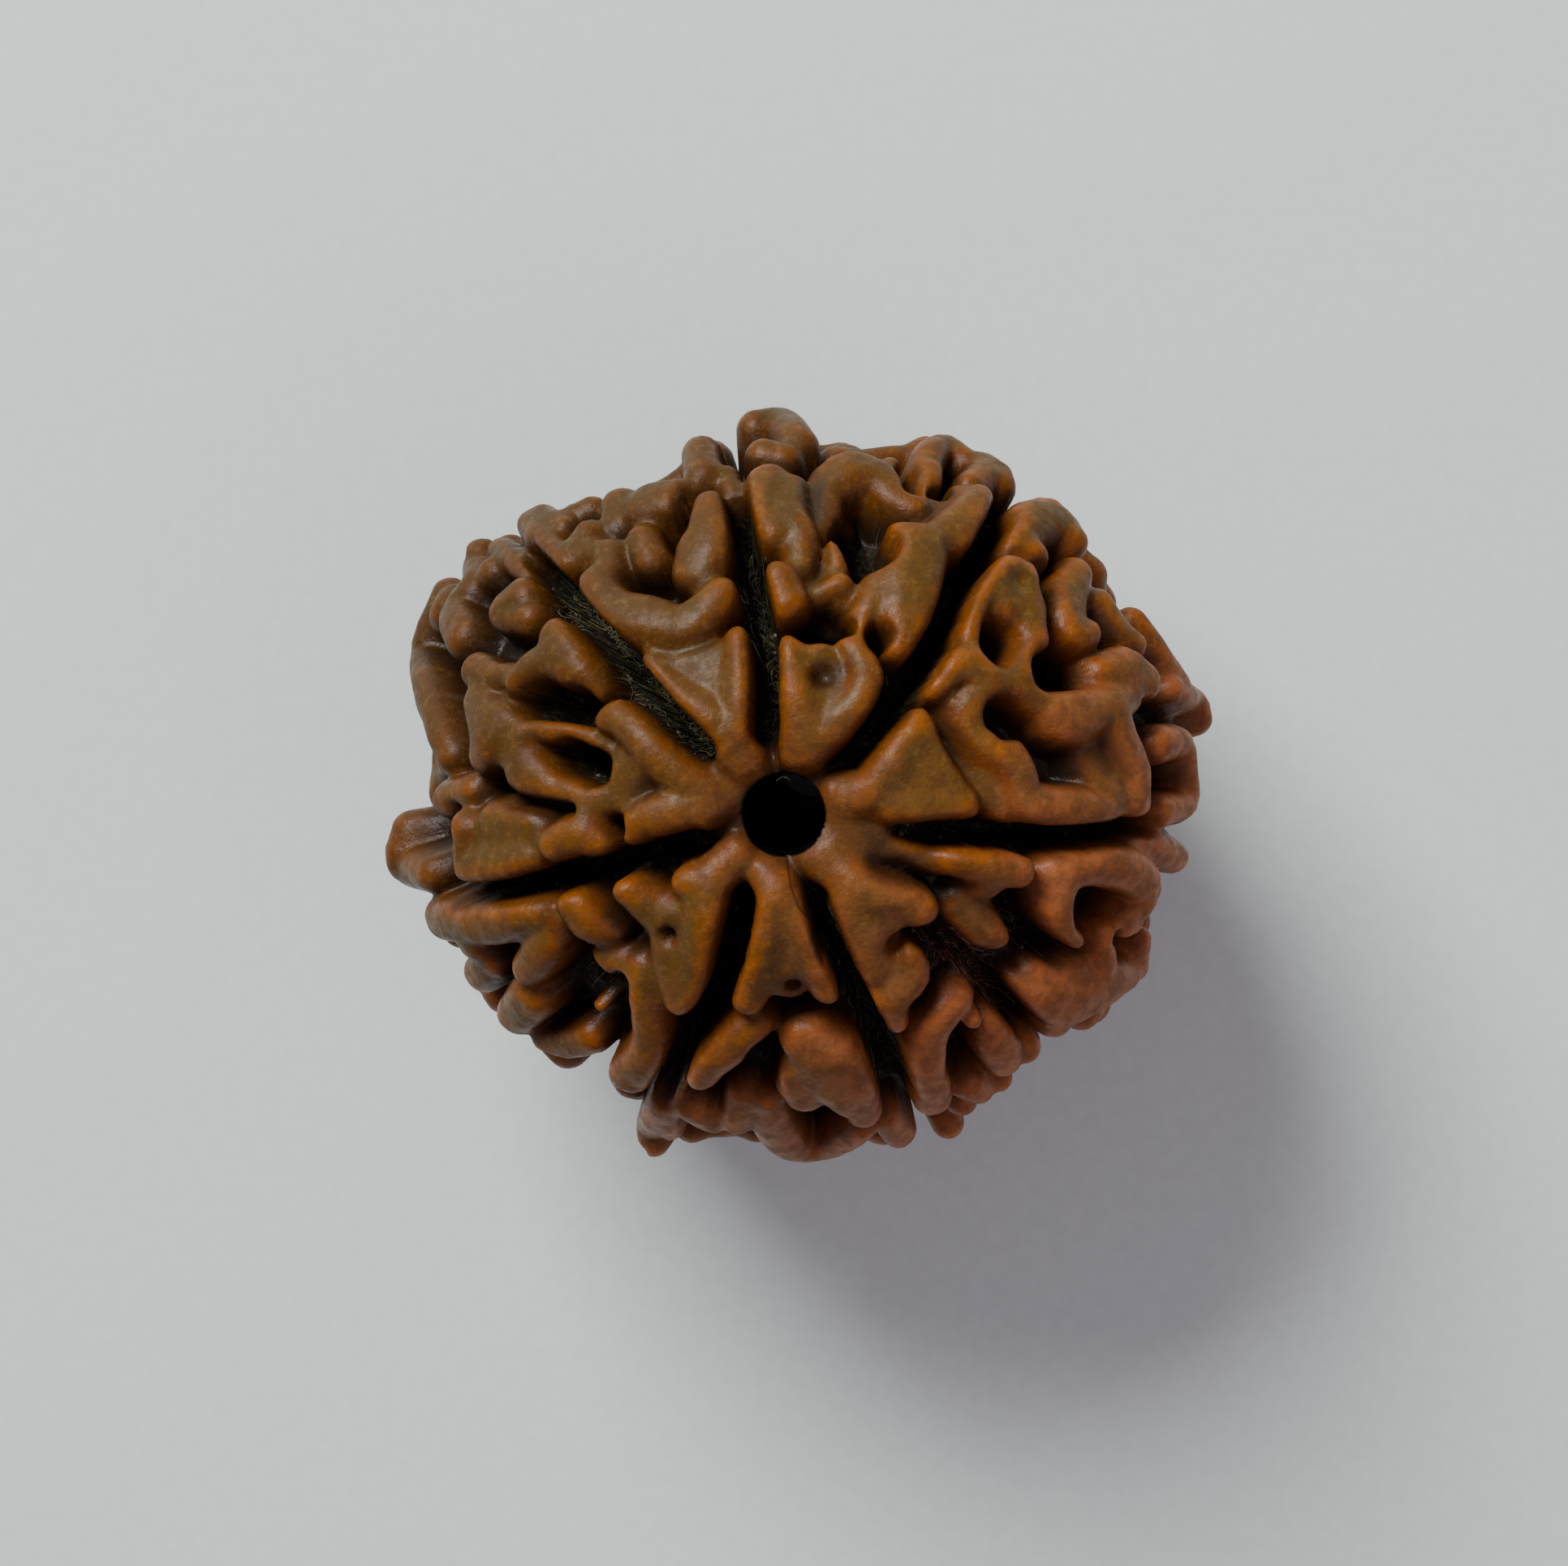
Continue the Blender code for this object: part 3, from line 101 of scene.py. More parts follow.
FACE_NORTH_NORTH_EAST = dict(
    wedge_left=[(972, 795, 0.42, 0.2), (978, 840, 0.5, 0.05), (988, 880, 0.55, 0.1), (985, 925, 0.55, 0.5)],
    wedge_right=[(1050, 785, 0.4, 0.35), (1070, 825, 0.45, 0.1), (1062, 858, 0.5, 0.0),
                 (1030, 890, 0.5, 0.15), (1000, 920, 0.5, 0.4)],
    wedge_pad=[(1000, 800, 0.7, 0.4), (1020, 850, 0.8, 0.4), (1010, 890, 0.6, 0.3)],
    wedge_link=[(1050, 785, 0.35, 0.35), (1060, 760, 0.35, 0.5), (1080, 735, 0.45, 0.4)],
    long_ridge=[(1112, 782, 0.55, 0.3), (1125, 745, 0.8, 0.15), (1130, 700, 0.95, 0.1),
                (1140, 660, 0.8, 0.1)],
    long_ridge_left=[(1080, 735, 0.45, 0.5), (1095, 690, 0.5, 0.4), (1115, 655, 0.6, 0.2)],
    upper_lobe=[(1155, 655, 0.5, 0.3), (1185, 640, 0.65, 0.2), (1205, 620, 0.6, 0.0), (1212, 605, 0.4, 0.0)],
    upper_lobe_foot=[(1195, 655, 0.55, 0.3)],
    corner_lobe=[(1200, 590, 0.4, 0.5), (1225, 575, 0.6, 0.3), (1236, 588, 0.5, 0.5)],
    ring_top=[(1145, 570, 0.4, 0.6), (1150, 552, 0.45, 0.3), (1168, 545, 0.45, 0.2), (1195, 562, 0.35, 0.4),
              (1215, 567, 0.4, 0.4)],
    ring_left=[(1150, 575, 0.25, 0.5), (1150, 600, 0.3, 0.8), (1160, 620, 0.35, 0.9),
               (1185, 605, 0.35, 0.5)],
    broad_lobe=[(1030, 580, 0.7, 0.5), (1055, 568, 0.8, 0.2), (1085, 578, 0.7, 0.4), (1110, 600, 0.6, 0.5),
                (1130, 615, 0.5, 0.5)],
    broad_lobe_side=[(1100, 570, 0.35, 0.7)],
    pit_wall=[(1020, 600, 0.4, 0.6), (1018, 640, 0.4, 0.9)],
    spike=[(1037, 655, 0.3, 0.6), (1035, 690, 0.4, 0.8), (1025, 710, 0.4, 1.0)],
    low_knob=[(1000, 728, 0.35, 0.9), (1020, 722, 0.3, 0.7), (1038, 712, 0.25, 0.5), (1040, 730, 0.4, 0.9)],
    pit_floor=[(1020, 640, 0.8, 1.8), (1030, 700, 0.8, 1.6), (1055, 740, 0.5, 1.3)],
    column_top=[(930, 516, 0.5, 0.0), (960, 513, 0.6, 0.1), (985, 535, 0.5, 0.3)],
    column_step=[(940, 548, 0.5, 0.3), (965, 552, 0.5, 0.5)],
    column_left=[(945, 580, 0.6, 0.1), (940, 615, 0.5, 0.1), (950, 645, 0.55, 0.2)],
    column_right=[(975, 590, 0.45, 0.4), (970, 625, 0.6, 0.2), (985, 650, 0.5, 0.3), (985, 690, 0.4, 0.5)],
    column_foot=[(955, 705, 0.6, 0.0), (968, 730, 0.6, 0.15)],
)

FACE_WEST = dict(
    wedge_upper=[(752, 880, 0.45, 0.2), (775, 900, 0.5, 0.05), (800, 930, 0.55, 0.05), (835, 960, 0.6, 0.3),
                 (870, 985, 0.6, 0.6)],
    wedge_lower=[(780, 1015, 0.5, 0.15), (810, 1005, 0.6, 0.1), (850, 1000, 0.6, 0.4)],
    wedge_tip=[(775, 1030, 0.35, 0.35)],
    wedge_horn=[(740, 885, 0.25, 0.35)],
    wedge_pad=[(770, 950, 0.8, 0.5), (760, 985, 0.6, 0.6)],
    saddle=[(735, 990, 0.5, 0.7), (700, 1010, 0.5, 0.6)],
    hook=[(675, 777, 0.55, 0.0), (690, 808, 0.72, 0.05), (715, 845, 0.6, 0.5)],
    hook_arm=[(675, 800, 0.55, 0.1), (648, 815, 0.5, 0.2), (628, 835, 0.42, 0.25)],
    round_knob=[(632, 728, 0.6, 0.2), (612, 748, 0.5, 0.35), (640, 755, 0.5, 0.5)],
    left_lobe=[(585, 680, 0.5, 0.25), (580, 715, 0.5, 0.5), (555, 750, 0.6, 0.25), (560, 780, 0.6, 0.35)],
    left_lobe_back=[(612, 675, 0.4, 0.9), (640, 695, 0.35, 1.0), (655, 712, 0.25, 1.0)],
    left_lobe_fill=[(600, 700, 0.5, 0.6)],
    outer_wall=[(545, 730, 0.5, 1.0), (520, 790, 0.5, 1.0), (518, 840, 0.5, 1.0), (530, 890, 0.5, 1.1),
                (545, 930, 0.5, 1.2)],
    middle_top=[(575, 822, 0.5, 0.4), (600, 830, 0.45, 0.5), (620, 830, 0.4, 0.6)],
    middle=[(580, 860, 0.6, 0.5), (590, 900, 0.8, 0.2), (585, 925, 0.6, 0.5)],
    middle_right=[(605, 880, 0.5, 0.3), (625, 905, 0.6, 0.4)],
    thin_ridge=[(640, 893, 0.4, 0.6), (690, 898, 0.35, 0.6), (725, 912, 0.3, 0.7), (745, 930, 0.3, 0.8)],
    pit_sill=[(625, 930, 0.6, 0.5), (640, 955, 0.7, 0.5), (680, 975, 0.5, 0.6), (730, 980, 0.5, 0.6)],
    low_left=[(540, 985, 0.5, 1.1), (570, 975, 0.5, 0.9)],
    end_knob=[(494, 1026, 0.55, 0.2), (489, 1062, 0.6, 0.3), (522, 1080, 0.5, 0.5)],
    groove_ridge=[(560, 1025, 0.55, 0.15), (562, 1065, 0.6, 0.15), (600, 1072, 0.65, 0.1),
                  (640, 1060, 0.5, 0.3)],
    groove_pad=[(600, 1030, 1.0, 0.5), (640, 1020, 0.8, 0.6)],
    groove_lobe=[(670, 1042, 0.5, 0.15), (700, 1030, 0.55, 0.15), (725, 1040, 0.5, 0.3)],
    groove_lobe_link=[(700, 1010, 0.5, 0.4), (725, 985, 0.5, 0.6)],
)

FACE_SOUTH_WEST = dict(
    wedge=[(905, 1060, 0.6, 0.7), (872, 1092, 0.6, 0.3), (862, 1130, 0.6, 0.05), (860, 1180, 0.55, 0.05),
           (850, 1235, 0.55, 0.1)],
    wedge_shoulder=[(845, 1095, 0.5, 0.2)],
    wedge_pad=[(825, 1140, 0.7, 0.4), (825, 1200, 0.7, 0.3), (835, 1240, 0.6, 0.2)],
    horn=[(765, 1103, 0.4, 0.2), (790, 1120, 0.6, 0.5), (810, 1140, 0.6, 0.6)],
    second_lobe=[(695, 1120, 0.5, 0.3), (712, 1140, 0.6, 0.4), (740, 1155, 0.5, 0.8)],
    rim_ridge=[(535, 1135, 0.6, 0.3), (590, 1140, 0.7, 0.1), (640, 1130, 0.6, 0.1), (665, 1140, 0.5, 0.4)],
    rim_ridge_low=[(575, 1165, 0.6, 0.4)],
    branch=[(665, 1165, 0.5, 0.2), (655, 1180, 0.55, 0.15), (640, 1200, 0.5, 0.3)],
    under_knob=[(583, 1205, 0.55, 1.1), (600, 1190, 0.5, 1.0)],
    big_lobe=[(645, 1235, 0.7, 0.5), (627, 1258, 0.6, 0.5)],
    far_rim=[(665, 1285, 0.4, 1.2), (690, 1292, 0.5, 1.2), (720, 1288, 0.5, 1.1)],
    pit_bridge=[(740, 1190, 0.5, 0.9), (760, 1195, 0.5, 0.8), (785, 1210, 0.5, 0.6)],
    pit_web=[(728, 1200, 0.2, 1.0), (735, 1240, 0.2, 1.2)],
    finger=[(785, 1200, 0.45, 0.6), (785, 1240, 0.5, 0.3), (795, 1280, 0.5, 0.2), (790, 1310, 0.55, 0.1),
            (770, 1335, 0.6, 0.1)],
)

FACE_SOUTH = dict(
    wedge_left=[(945, 1085, 0.6, 0.6), (950, 1120, 0.55, 0.15), (940, 1165, 0.55, 0.05),
                (922, 1205, 0.6, 0.1), (918, 1238, 0.55, 0.15)],
    wedge_right=[(960, 1105, 0.5, 0.3), (985, 1150, 0.5, 0.05), (1005, 1190, 0.5, 0.05),
                 (1022, 1230, 0.42, 0.15)],
    wedge_pad=[(965, 1170, 0.8, 0.35), (965, 1210, 0.8, 0.45)],
    wedge_lip=[(975, 1235, 0.4, 0.7)],
    finger=[(930, 1270, 0.5, 0.7), (905, 1295, 0.6, 0.3), (870, 1320, 0.55, 0.1), (858, 1335, 0.5, 0.2)],
    corner=[(815, 1360, 0.35, 1.2), (802, 1395, 0.45, 1.0), (803, 1412, 0.4, 1.0)],
    corner_ridge=[(835, 1330, 0.25, 1.2), (822, 1370, 0.25, 1.0), (825, 1395, 0.3, 1.0)],
    low_lobe=[(850, 1375, 0.6, 0.9), (875, 1388, 0.5, 1.0)],
    low_lobe_right=[(915, 1360, 0.5, 1.0), (905, 1390, 0.5, 0.8)],
    dome=[(1000, 1300, 0.9, 0.4), (1028, 1330, 1.05, 0.15), (1050, 1358, 0.85, 0.15),
          (1066, 1382, 0.5, 0.4)],
    dome_left=[(978, 1335, 0.7, 0.5), (992, 1362, 0.6, 0.5)],
    sill=[(945, 1365, 0.4, 0.9), (952, 1398, 0.6, 0.9), (975, 1420, 0.6, 0.8), (1015, 1420, 0.5, 0.9),
          (1045, 1410, 0.45, 0.9), (1065, 1397, 0.35, 0.8)],
    tooth=[(1095, 1385, 0.4, 1.1), (1111, 1405, 0.45, 0.9)],
)

FACE_SOUTH_EAST = dict(
    wedge_root=[(1010, 1050, 0.8, 0.75), (1040, 1080, 0.7, 0.5), (1070, 1105, 0.6, 0.1),
                (1110, 1112, 0.5, 0.1), (1140, 1128, 0.5, 0.1)],
    wedge_left=[(1050, 1120, 0.6, 0.2), (1068, 1160, 0.6, 0.2), (1078, 1205, 0.5, 0.2)],
    wedge_tip=[(1095, 1240, 0.6, 0.1), (1106, 1268, 0.35, 0.3)],
    wedge_right=[(1128, 1180, 0.35, 0.4), (1130, 1215, 0.45, 0.3), (1105, 1240, 0.5, 0.2)],
    wedge_pad=[(1090, 1140, 0.7, 0.3), (1075, 1180, 0.6, 0.4), (1100, 1215, 0.6, 0.35)],
    bar=[(1185, 1245, 0.5, 0.5), (1170, 1260, 0.5, 0.3), (1150, 1290, 0.6, 0.3), (1150, 1330, 0.55, 0.2),
         (1155, 1365, 0.5, 0.3)],
    bar_nose=[(1203, 1262, 0.2, 0.45)],
    bar_tail=[(1172, 1392, 0.4, 0.8)],
    low_knob=[(1200, 1345, 0.5, 0.8), (1212, 1350, 0.4, 0.8)],
    low_knob_side=[(1190, 1365, 0.4, 1.0)],
    side_lobe=[(1225, 1275, 0.5, 0.8), (1240, 1300, 0.6, 0.6), (1245, 1315, 0.5, 0.7)],
    side_lobe_back=[(1272, 1300, 0.4, 1.0)],
    side_lobe_foot=[(1235, 1335, 0.35, 1.1)],
    torn_web=[(1185, 1190, 0.2, 1.5), (1195, 1225, 0.2, 1.2)],
)

FACE_EAST_SOUTH_EAST = dict(
    ridge=[(1110, 1045, 0.5, 0.85), (1150, 1060, 0.4, 0.8), (1190, 1062, 0.45, 0.3),
           (1230, 1070, 0.55, 0.15), (1268, 1078, 0.4, 0.2)],
    ridge_flank=[(1225, 1090, 0.5, 0.6)],
    flap=[(1195, 1115, 0.6, 1.1), (1215, 1140, 0.7, 1.0), (1238, 1155, 0.5, 0.9)],
    flap_edge=[(1178, 1125, 0.4, 1.2), (1205, 1158, 0.45, 1.1)],
    hook=[(1290, 1110, 0.5, 0.9), (1310, 1085, 0.6, 0.5), (1345, 1070, 0.6, 0.2), (1390, 1070, 0.6, 0.1),
          (1420, 1090, 0.6, 0.1), (1415, 1115, 0.5, 0.3), (1395, 1125, 0.4, 0.6)],
    hook_branch=[(1320, 1095, 0.5, 0.3), (1315, 1130, 0.55, 0.15), (1328, 1165, 0.45, 0.15)],
    outer_knob=[(1400, 1035, 0.4, 1.0), (1440, 1050, 0.5, 0.8), (1456, 1058, 0.4, 0.7)],
    eye_left=[(1400, 1140, 0.25, 0.6), (1370, 1155, 0.3, 0.5), (1368, 1190, 0.4, 0.4)],
    eye_right=[(1410, 1160, 0.3, 0.8), (1405, 1195, 0.4, 0.6)],
    broad_lobe=[(1265, 1225, 0.5, 0.8), (1295, 1235, 0.8, 0.4), (1330, 1240, 0.9, 0.1),
                (1370, 1220, 0.8, 0.2), (1395, 1205, 0.5, 0.4)],
    broad_lobe_foot=[(1310, 1265, 0.5, 0.5)],
    broad_lobe_top=[(1290, 1205, 0.6, 0.9), (1330, 1205, 0.6, 0.7)],
)

FACE_EAST_NORTH_EAST = dict(
    wedge_left=[(1135, 888, 0.4, 0.25), (1120, 915, 0.5, 0.1), (1105, 945, 0.55, 0.1), (1080, 975, 0.6, 0.3),
                (1040, 985, 0.7, 0.75)],
    wedge_right=[(1140, 905, 0.5, 0.2), (1160, 945, 0.5, 0.25), (1190, 985, 0.45, 0.25)],
    wedge_base=[(1195, 995, 0.4, 0.2), (1150, 995, 0.5, 0.15), (1110, 995, 0.5, 0.2)],
    wedge_pad=[(1135, 950, 0.9, 0.3), (1130, 985, 0.8, 0.3)],
    river=[(1160, 835, 0.5, 0.25), (1185, 815, 0.55, 0.05), (1210, 815, 0.6, 0.05), (1225, 840, 0.6, 0.15),
           (1205, 870, 0.6, 0.3), (1210, 905, 0.5, 0.35), (1245, 925, 0.6, 0.1), (1265, 950, 0.55, 0.1),
           (1275, 985, 0.6, 0.15), (1310, 1000, 0.65, 0.05), (1350, 1000, 0.6, 0.05),
           (1370, 1005, 0.4, 0.2)],
    river_bank=[(1185, 860, 0.6, 0.7), (1200, 920, 0.6, 0.8), (1235, 965, 0.8, 0.6), (1250, 1000, 0.6, 0.6)],
    leaf_loop=[(1200, 790, 0.35, 0.3), (1200, 755, 0.45, 0.15), (1220, 715, 0.5, 0.1), (1250, 695, 0.5, 0.1),
               (1275, 710, 0.5, 0.2), (1280, 760, 0.5, 0.3), (1285, 795, 0.45, 0.3), (1265, 830, 0.5, 0.3),
               (1245, 835, 0.4, 0.3)],
    leaf_pad=[(1250, 735, 0.7, 0.3)],
    top_lobe=[(1255, 660, 0.6, 0.5), (1280, 635, 0.7, 0.2), (1310, 638, 0.7, 0.1), (1327, 658, 0.5, 0.2)],
    top_lobe_foot=[(1280, 675, 0.5, 0.4)],
    slope=[(1335, 700, 0.5, 0.6), (1325, 740, 0.7, 0.7), (1335, 775, 0.5, 0.5), (1350, 775, 0.4, 0.5)],
    slope_back=[(1365, 740, 0.5, 0.9), (1385, 770, 0.5, 0.9), (1405, 790, 0.4, 0.9)],
    far_edge=[(1405, 762, 0.4, 1.1), (1430, 800, 0.4, 1.0), (1455, 838, 0.4, 0.9)],
    boss=[(1370, 825, 0.5, 0.5), (1400, 822, 0.7, 0.2), (1420, 835, 0.6, 0.15)],
    saddle=[(1400, 855, 0.5, 0.4), (1365, 870, 0.6, 0.3), (1330, 880, 0.8, 0.3), (1300, 865, 0.6, 0.5),
            (1265, 840, 0.5, 0.4)],
    east_body=[(1385, 875, 0.5, 0.3), (1395, 910, 0.6, 0.3), (1410, 950, 0.6, 0.3), (1410, 990, 0.6, 0.3)],
    east_foot=[(1380, 990, 0.7, 0.4)],
    east_pad=[(1350, 920, 0.8, 1.0), (1370, 960, 0.8, 0.7)],
    eye_rim=[(1450, 848, 0.35, 0.8), (1475, 865, 0.45, 0.5), (1482, 885, 0.4, 0.5)],
    edge_wall=[(1440, 915, 0.5, 0.6), (1462, 915, 0.45, 0.5), (1467, 950, 0.4, 0.6), (1467, 990, 0.4, 0.6),
               (1440, 1000, 0.4, 0.6)],
)

FACES = (
    HUB, FACE_NORTH_NORTH_WEST, FACE_NORTH_NORTH_EAST, FACE_WEST, FACE_SOUTH_WEST, FACE_SOUTH,
    FACE_SOUTH_EAST, FACE_EAST_SOUTH_EAST, FACE_EAST_NORTH_EAST,
)

# What is cut into the body and its ridges: the same four values, where the depth is that of the floor
GROOVE_LINES = dict(
    north=[(935, 893, 0.22, 2.0), (941, 830, 0.22, 3.3), (936, 765, 0.26, 3.3), (925, 700, 0.26, 3.3),
           (912, 640, 0.22, 3.2), (903, 600, 0.22, 2.8)],
    north_east=[(1075, 905, 0.18, 2.0), (1110, 860, 0.26, 3.3), (1145, 815, 0.26, 3.4),
                (1172, 765, 0.26, 3.4), (1195, 712, 0.26, 3.4), (1222, 665, 0.26, 3.2),
                (1245, 622, 0.26, 2.8)],
    east=[(1120, 1028, 0.12, 1.2), (1180, 1031, 0.26, 2.6), (1250, 1034, 0.26, 3.3), (1330, 1036, 0.26, 3.3),
          (1390, 1028, 0.22, 3.0), (1440, 1020, 0.22, 2.6)],
    south_south_east=[(1010, 1122, 0.18, 2.0), (1022, 1170, 0.18, 3.2), (1045, 1215, 0.22, 3.4),
                      (1075, 1275, 0.26, 3.4), (1098, 1330, 0.3, 3.3), (1115, 1375, 0.3, 2.8)],
    south_south_west=[(912, 1120, 0.22, 2.4), (898, 1180, 0.3, 3.4), (880, 1235, 0.26, 3.4),
                      (845, 1290, 0.26, 3.2), (822, 1340, 0.22, 2.8), (805, 1375, 0.22, 2.4)],
    west=[(845, 1040, 0.22, 1.6), (800, 1058, 0.22, 3.0), (745, 1072, 0.22, 3.3), (680, 1090, 0.22, 3.3),
          (610, 1103, 0.22, 3.1), (550, 1108, 0.22, 2.6)],
    north_west=[(862, 920, 0.22, 2.2), (825, 885, 0.22, 3.2), (785, 840, 0.26, 3.4), (742, 790, 0.26, 3.4),
                (700, 742, 0.26, 3.3), (665, 700, 0.22, 3.0), (640, 672, 0.22, 2.6)],
    east_south_east=[(1150, 1165, 0.26, 3.0), (1195, 1190, 0.26, 3.2), (1225, 1215, 0.22, 3.0),
                     (1258, 1250, 0.22, 2.8), (1285, 1282, 0.22, 2.4)],
)

PITS = dict(
    north_wedge_gap=[(1000, 765, 0.3, 3.0), (1045, 762, 0.2, 2.8)],
    north_wedge_notch=[(1090, 775, 0.22, 2.6)],
    north_deep=[(1062, 636, 0.6, 3.8), (1080, 660, 0.6, 3.8)],
    north_notch=[(1122, 560, 0.14, 2.2), (1130, 588, 0.14, 2.0)],
    north_west_gap=[(843, 596, 0.12, 1.8), (833, 640, 0.14, 1.8)],
    east_strip=[(1300, 690, 0.2, 2.0), (1303, 720, 0.2, 2.2)],
    east_deep=[(1305, 818, 0.45, 3.6), (1340, 812, 0.42, 3.6)],
    east_bay=[(1240, 872, 0.3, 2.3), (1250, 892, 0.3, 2.3)],
    east_eye=[(1438, 876, 0.32, 2.6)],
    south_east_crescent=[(1272, 1128, 0.25, 2.6), (1290, 1165, 0.3, 3.0), (1330, 1192, 0.25, 2.8)],
    south_east_cup=[(1352, 1130, 0.42, 2.8)],
    south_east_gap=[(1198, 1300, 0.3, 3.0), (1190, 1330, 0.2, 2.8)],
    south_pit=[(940, 1320, 0.35, 3.0), (938, 1350, 0.3, 3.0)],
    south_slot=[(1005, 1395, 0.2, 2.6), (1032, 1393, 0.2, 2.6)],
    south_gap=[(960, 1262, 0.25, 2.8), (1035, 1262, 0.2, 2.6)],
    south_west_deep=[(703, 1222, 0.5, 3.5), (712, 1238, 0.5, 3.5)],
    south_west_slot=[(750, 1225, 0.16, 2.6), (752, 1252, 0.16, 2.6)],
    west_slot=[(640, 860, 0.34, 3.0), (698, 862, 0.36, 3.2)],
    west_deep=[(682, 928, 0.34, 3.2), (712, 944, 0.4, 3.4)],
    west_crease=[(612, 988, 0.1, 1.3), (688, 1000, 0.1, 1.5)],
    west_end_crease=[(535, 1000, 0.12, 2.0), (545, 1040, 0.12, 1.8), (548, 1072, 0.12, 1.6)],
    west_gap=[(748, 1022, 0.16, 1.8)],
    north_wedge=[(1016, 826, 0.24, 0.75)],
    north_ring=[(1166, 588, 0.2, 2.4)],
    east_slot=[(1238, 768, 0.2, 2.6), (1232, 798, 0.2, 2.6)],
    east_window=[(1437, 968, 0.15, 2.2)],
    south_east_notch=[(1391, 1160, 0.12, 2.0)],
    south_east_wedge=[(1110, 1172, 0.2, 0.8)],
    south_lip=[(976, 1229, 0.16, 1.0)],
    south_west_wedge=[(816, 1161, 0.16, 0.8)],
    west_hole=[(605, 790, 0.18, 2.2)],
)

# The bead seen from above, as pixels of the picture
OUTLINE = (
    (1492, 885), (1480, 960), (1466, 1055), (1445, 1110), (1412, 1210), (1370, 1262), (1285, 1300),
    (1240, 1335), (1188, 1392), (1120, 1415), (1045, 1415), (985, 1436), (910, 1405), (805, 1420),
    (742, 1345), (640, 1287), (582, 1225), (515, 1145), (482, 1065), (485, 1005), (530, 935),
    (510, 830), (520, 745), (575, 663), (655, 620), (745, 600), (825, 572), (870, 530),
    (925, 497), (985, 507), (1050, 542), (1100, 555), (1165, 532), (1248, 562), (1320, 612),
    (1343, 665), (1400, 755), (1455, 815),
)

# The rule for the girdle and the underside, angles in degrees
UNDER_SEED = 11
UNDER_ROWS = (84.0, 93.0, 102.0, 112.0, 123.0, 134.0, 145.0)  # polar angle of each row of knobs
KNOB_CLEARANCE = 0.25  # a knob is left out where a ridge of the upper side stands nearer, in mm
UNDER_HUB = (2.5, 0.95)  # half width and drop of the lump round the lower mouth of the bore, in mm
UNDER_WEDGE = (163.0, 151.0)  # polar angles of a wedge's root and of its two tips
WEDGE_HALF = (0.6, 0.75)  # half widths of a wedge's two arms and of the pad between them, in mm
WEDGE_DROP = 0.45  # of its root and its pad, in mm
WEDGE_SPREAD = 0.24  # from its middle to a tip, as a share of its face
WEDGE_JITTER = 2.0  # largest random shift of a tip towards a pole
SHOULDER_RISE = (0.28, 0.4)  # how far a wedge's tips stand out past the other crests: the bead rests on them
KNOB_HALF_WIDTH = (0.55, 0.85)
KNOB_DROP = (0.1, 0.6)
KNOB_SPACING = 2.5
KNOB_SWAY = 4.0  # largest random shift of a knob round the bore
KNOB_JITTER = 3.0  # the same towards a pole
LINK_CHANCE = 0.62
LINK_HALF = 0.75  # half width of a link as a share of its knob's
LINK_DROP = 0.2  # how much lower than its knobs it runs, in mm
GROOVE_HALF = 0.75  # from a groove's middle to the first knob's flank
UNDER_GROOVE = [  # polar angle, half width and floor's depth
    (95.0, 0.22, 2.8), (120.0, 0.22, 3.3), (150.0, 0.22, 3.2), (163.0, 0.22, 1.6),
]

MARCH_START = 1.2  # how far outside the crests the search for the surface starts, in mm
MARCH_STEP = 0.05
MARCH_DEPTH = 4.4
HALVINGS = 7


def unit(vector):
    return vector / np.linalg.norm(vector, axis=-1, keepdims=True)


def view_axes():
    """Unit vectors of the reference picture: right, up, and from the bead to the camera."""
    lean_x, lean_y = (math.tan(math.radians(angle)) for angle in VIEW_LEAN)
    towards = unit(np.array((lean_x, lean_y, 1.0)))
    right = unit(np.cross(np.array((0.0, 1.0, 0.0)), towards))
    return right, np.cross(towards, right), towards


def camera_place():
    """Where the camera stands, from the bead's middle, in mm."""
    right, up, towards = view_axes()
    aside, below = (BEAD_PIXEL[i] - PICTURE_MIDDLE[i] for i in (0, 1))
    return (up * below - right * aside) / PIXELS_PER_MM + towards * VIEW_DISTANCE


def crest_at_pixel(across, down, drop):
    """The point, from the bead's middle, that lies a drop behind the crest ellipsoid on a pixel's sight
    line. Past the outline the drop starts where the line passes nearest."""
    right, up, towards = view_axes()
    eye = camera_place()
    focal = PIXELS_PER_MM * VIEW_DISTANCE
    sight = right * (across - PICTURE_MIDDLE[0]) / focal - up * (down - PICTURE_MIDDLE[1]) / focal - towards
    start, step = eye / CREST_AXES, sight / CREST_AXES
    half_b, square = start @ step, step @ step
    inside = half_b**2 - square * (start @ start - 1.0)
    return eye + sight * ((-half_b - math.sqrt(max(inside, 0.0))) / square + drop)


def edge_on(across, down):
    """A ridge near the outline is seen edge-on: its crest is further out than the middle of what shows."""
    x, y = across - BEAD_PIXEL[0], down - BEAD_PIXEL[1]
    out = math.hypot(x / CREST_AXES[0], y / CREST_AXES[1]) / PIXELS_PER_MM
    limit, power = EDGE_LIMIT
    stretch = 1.0 + EDGE_STRETCH * min(out, limit) ** power
    return BEAD_PIXEL[0] + x * stretch, BEAD_PIXEL[1] + y * stretch


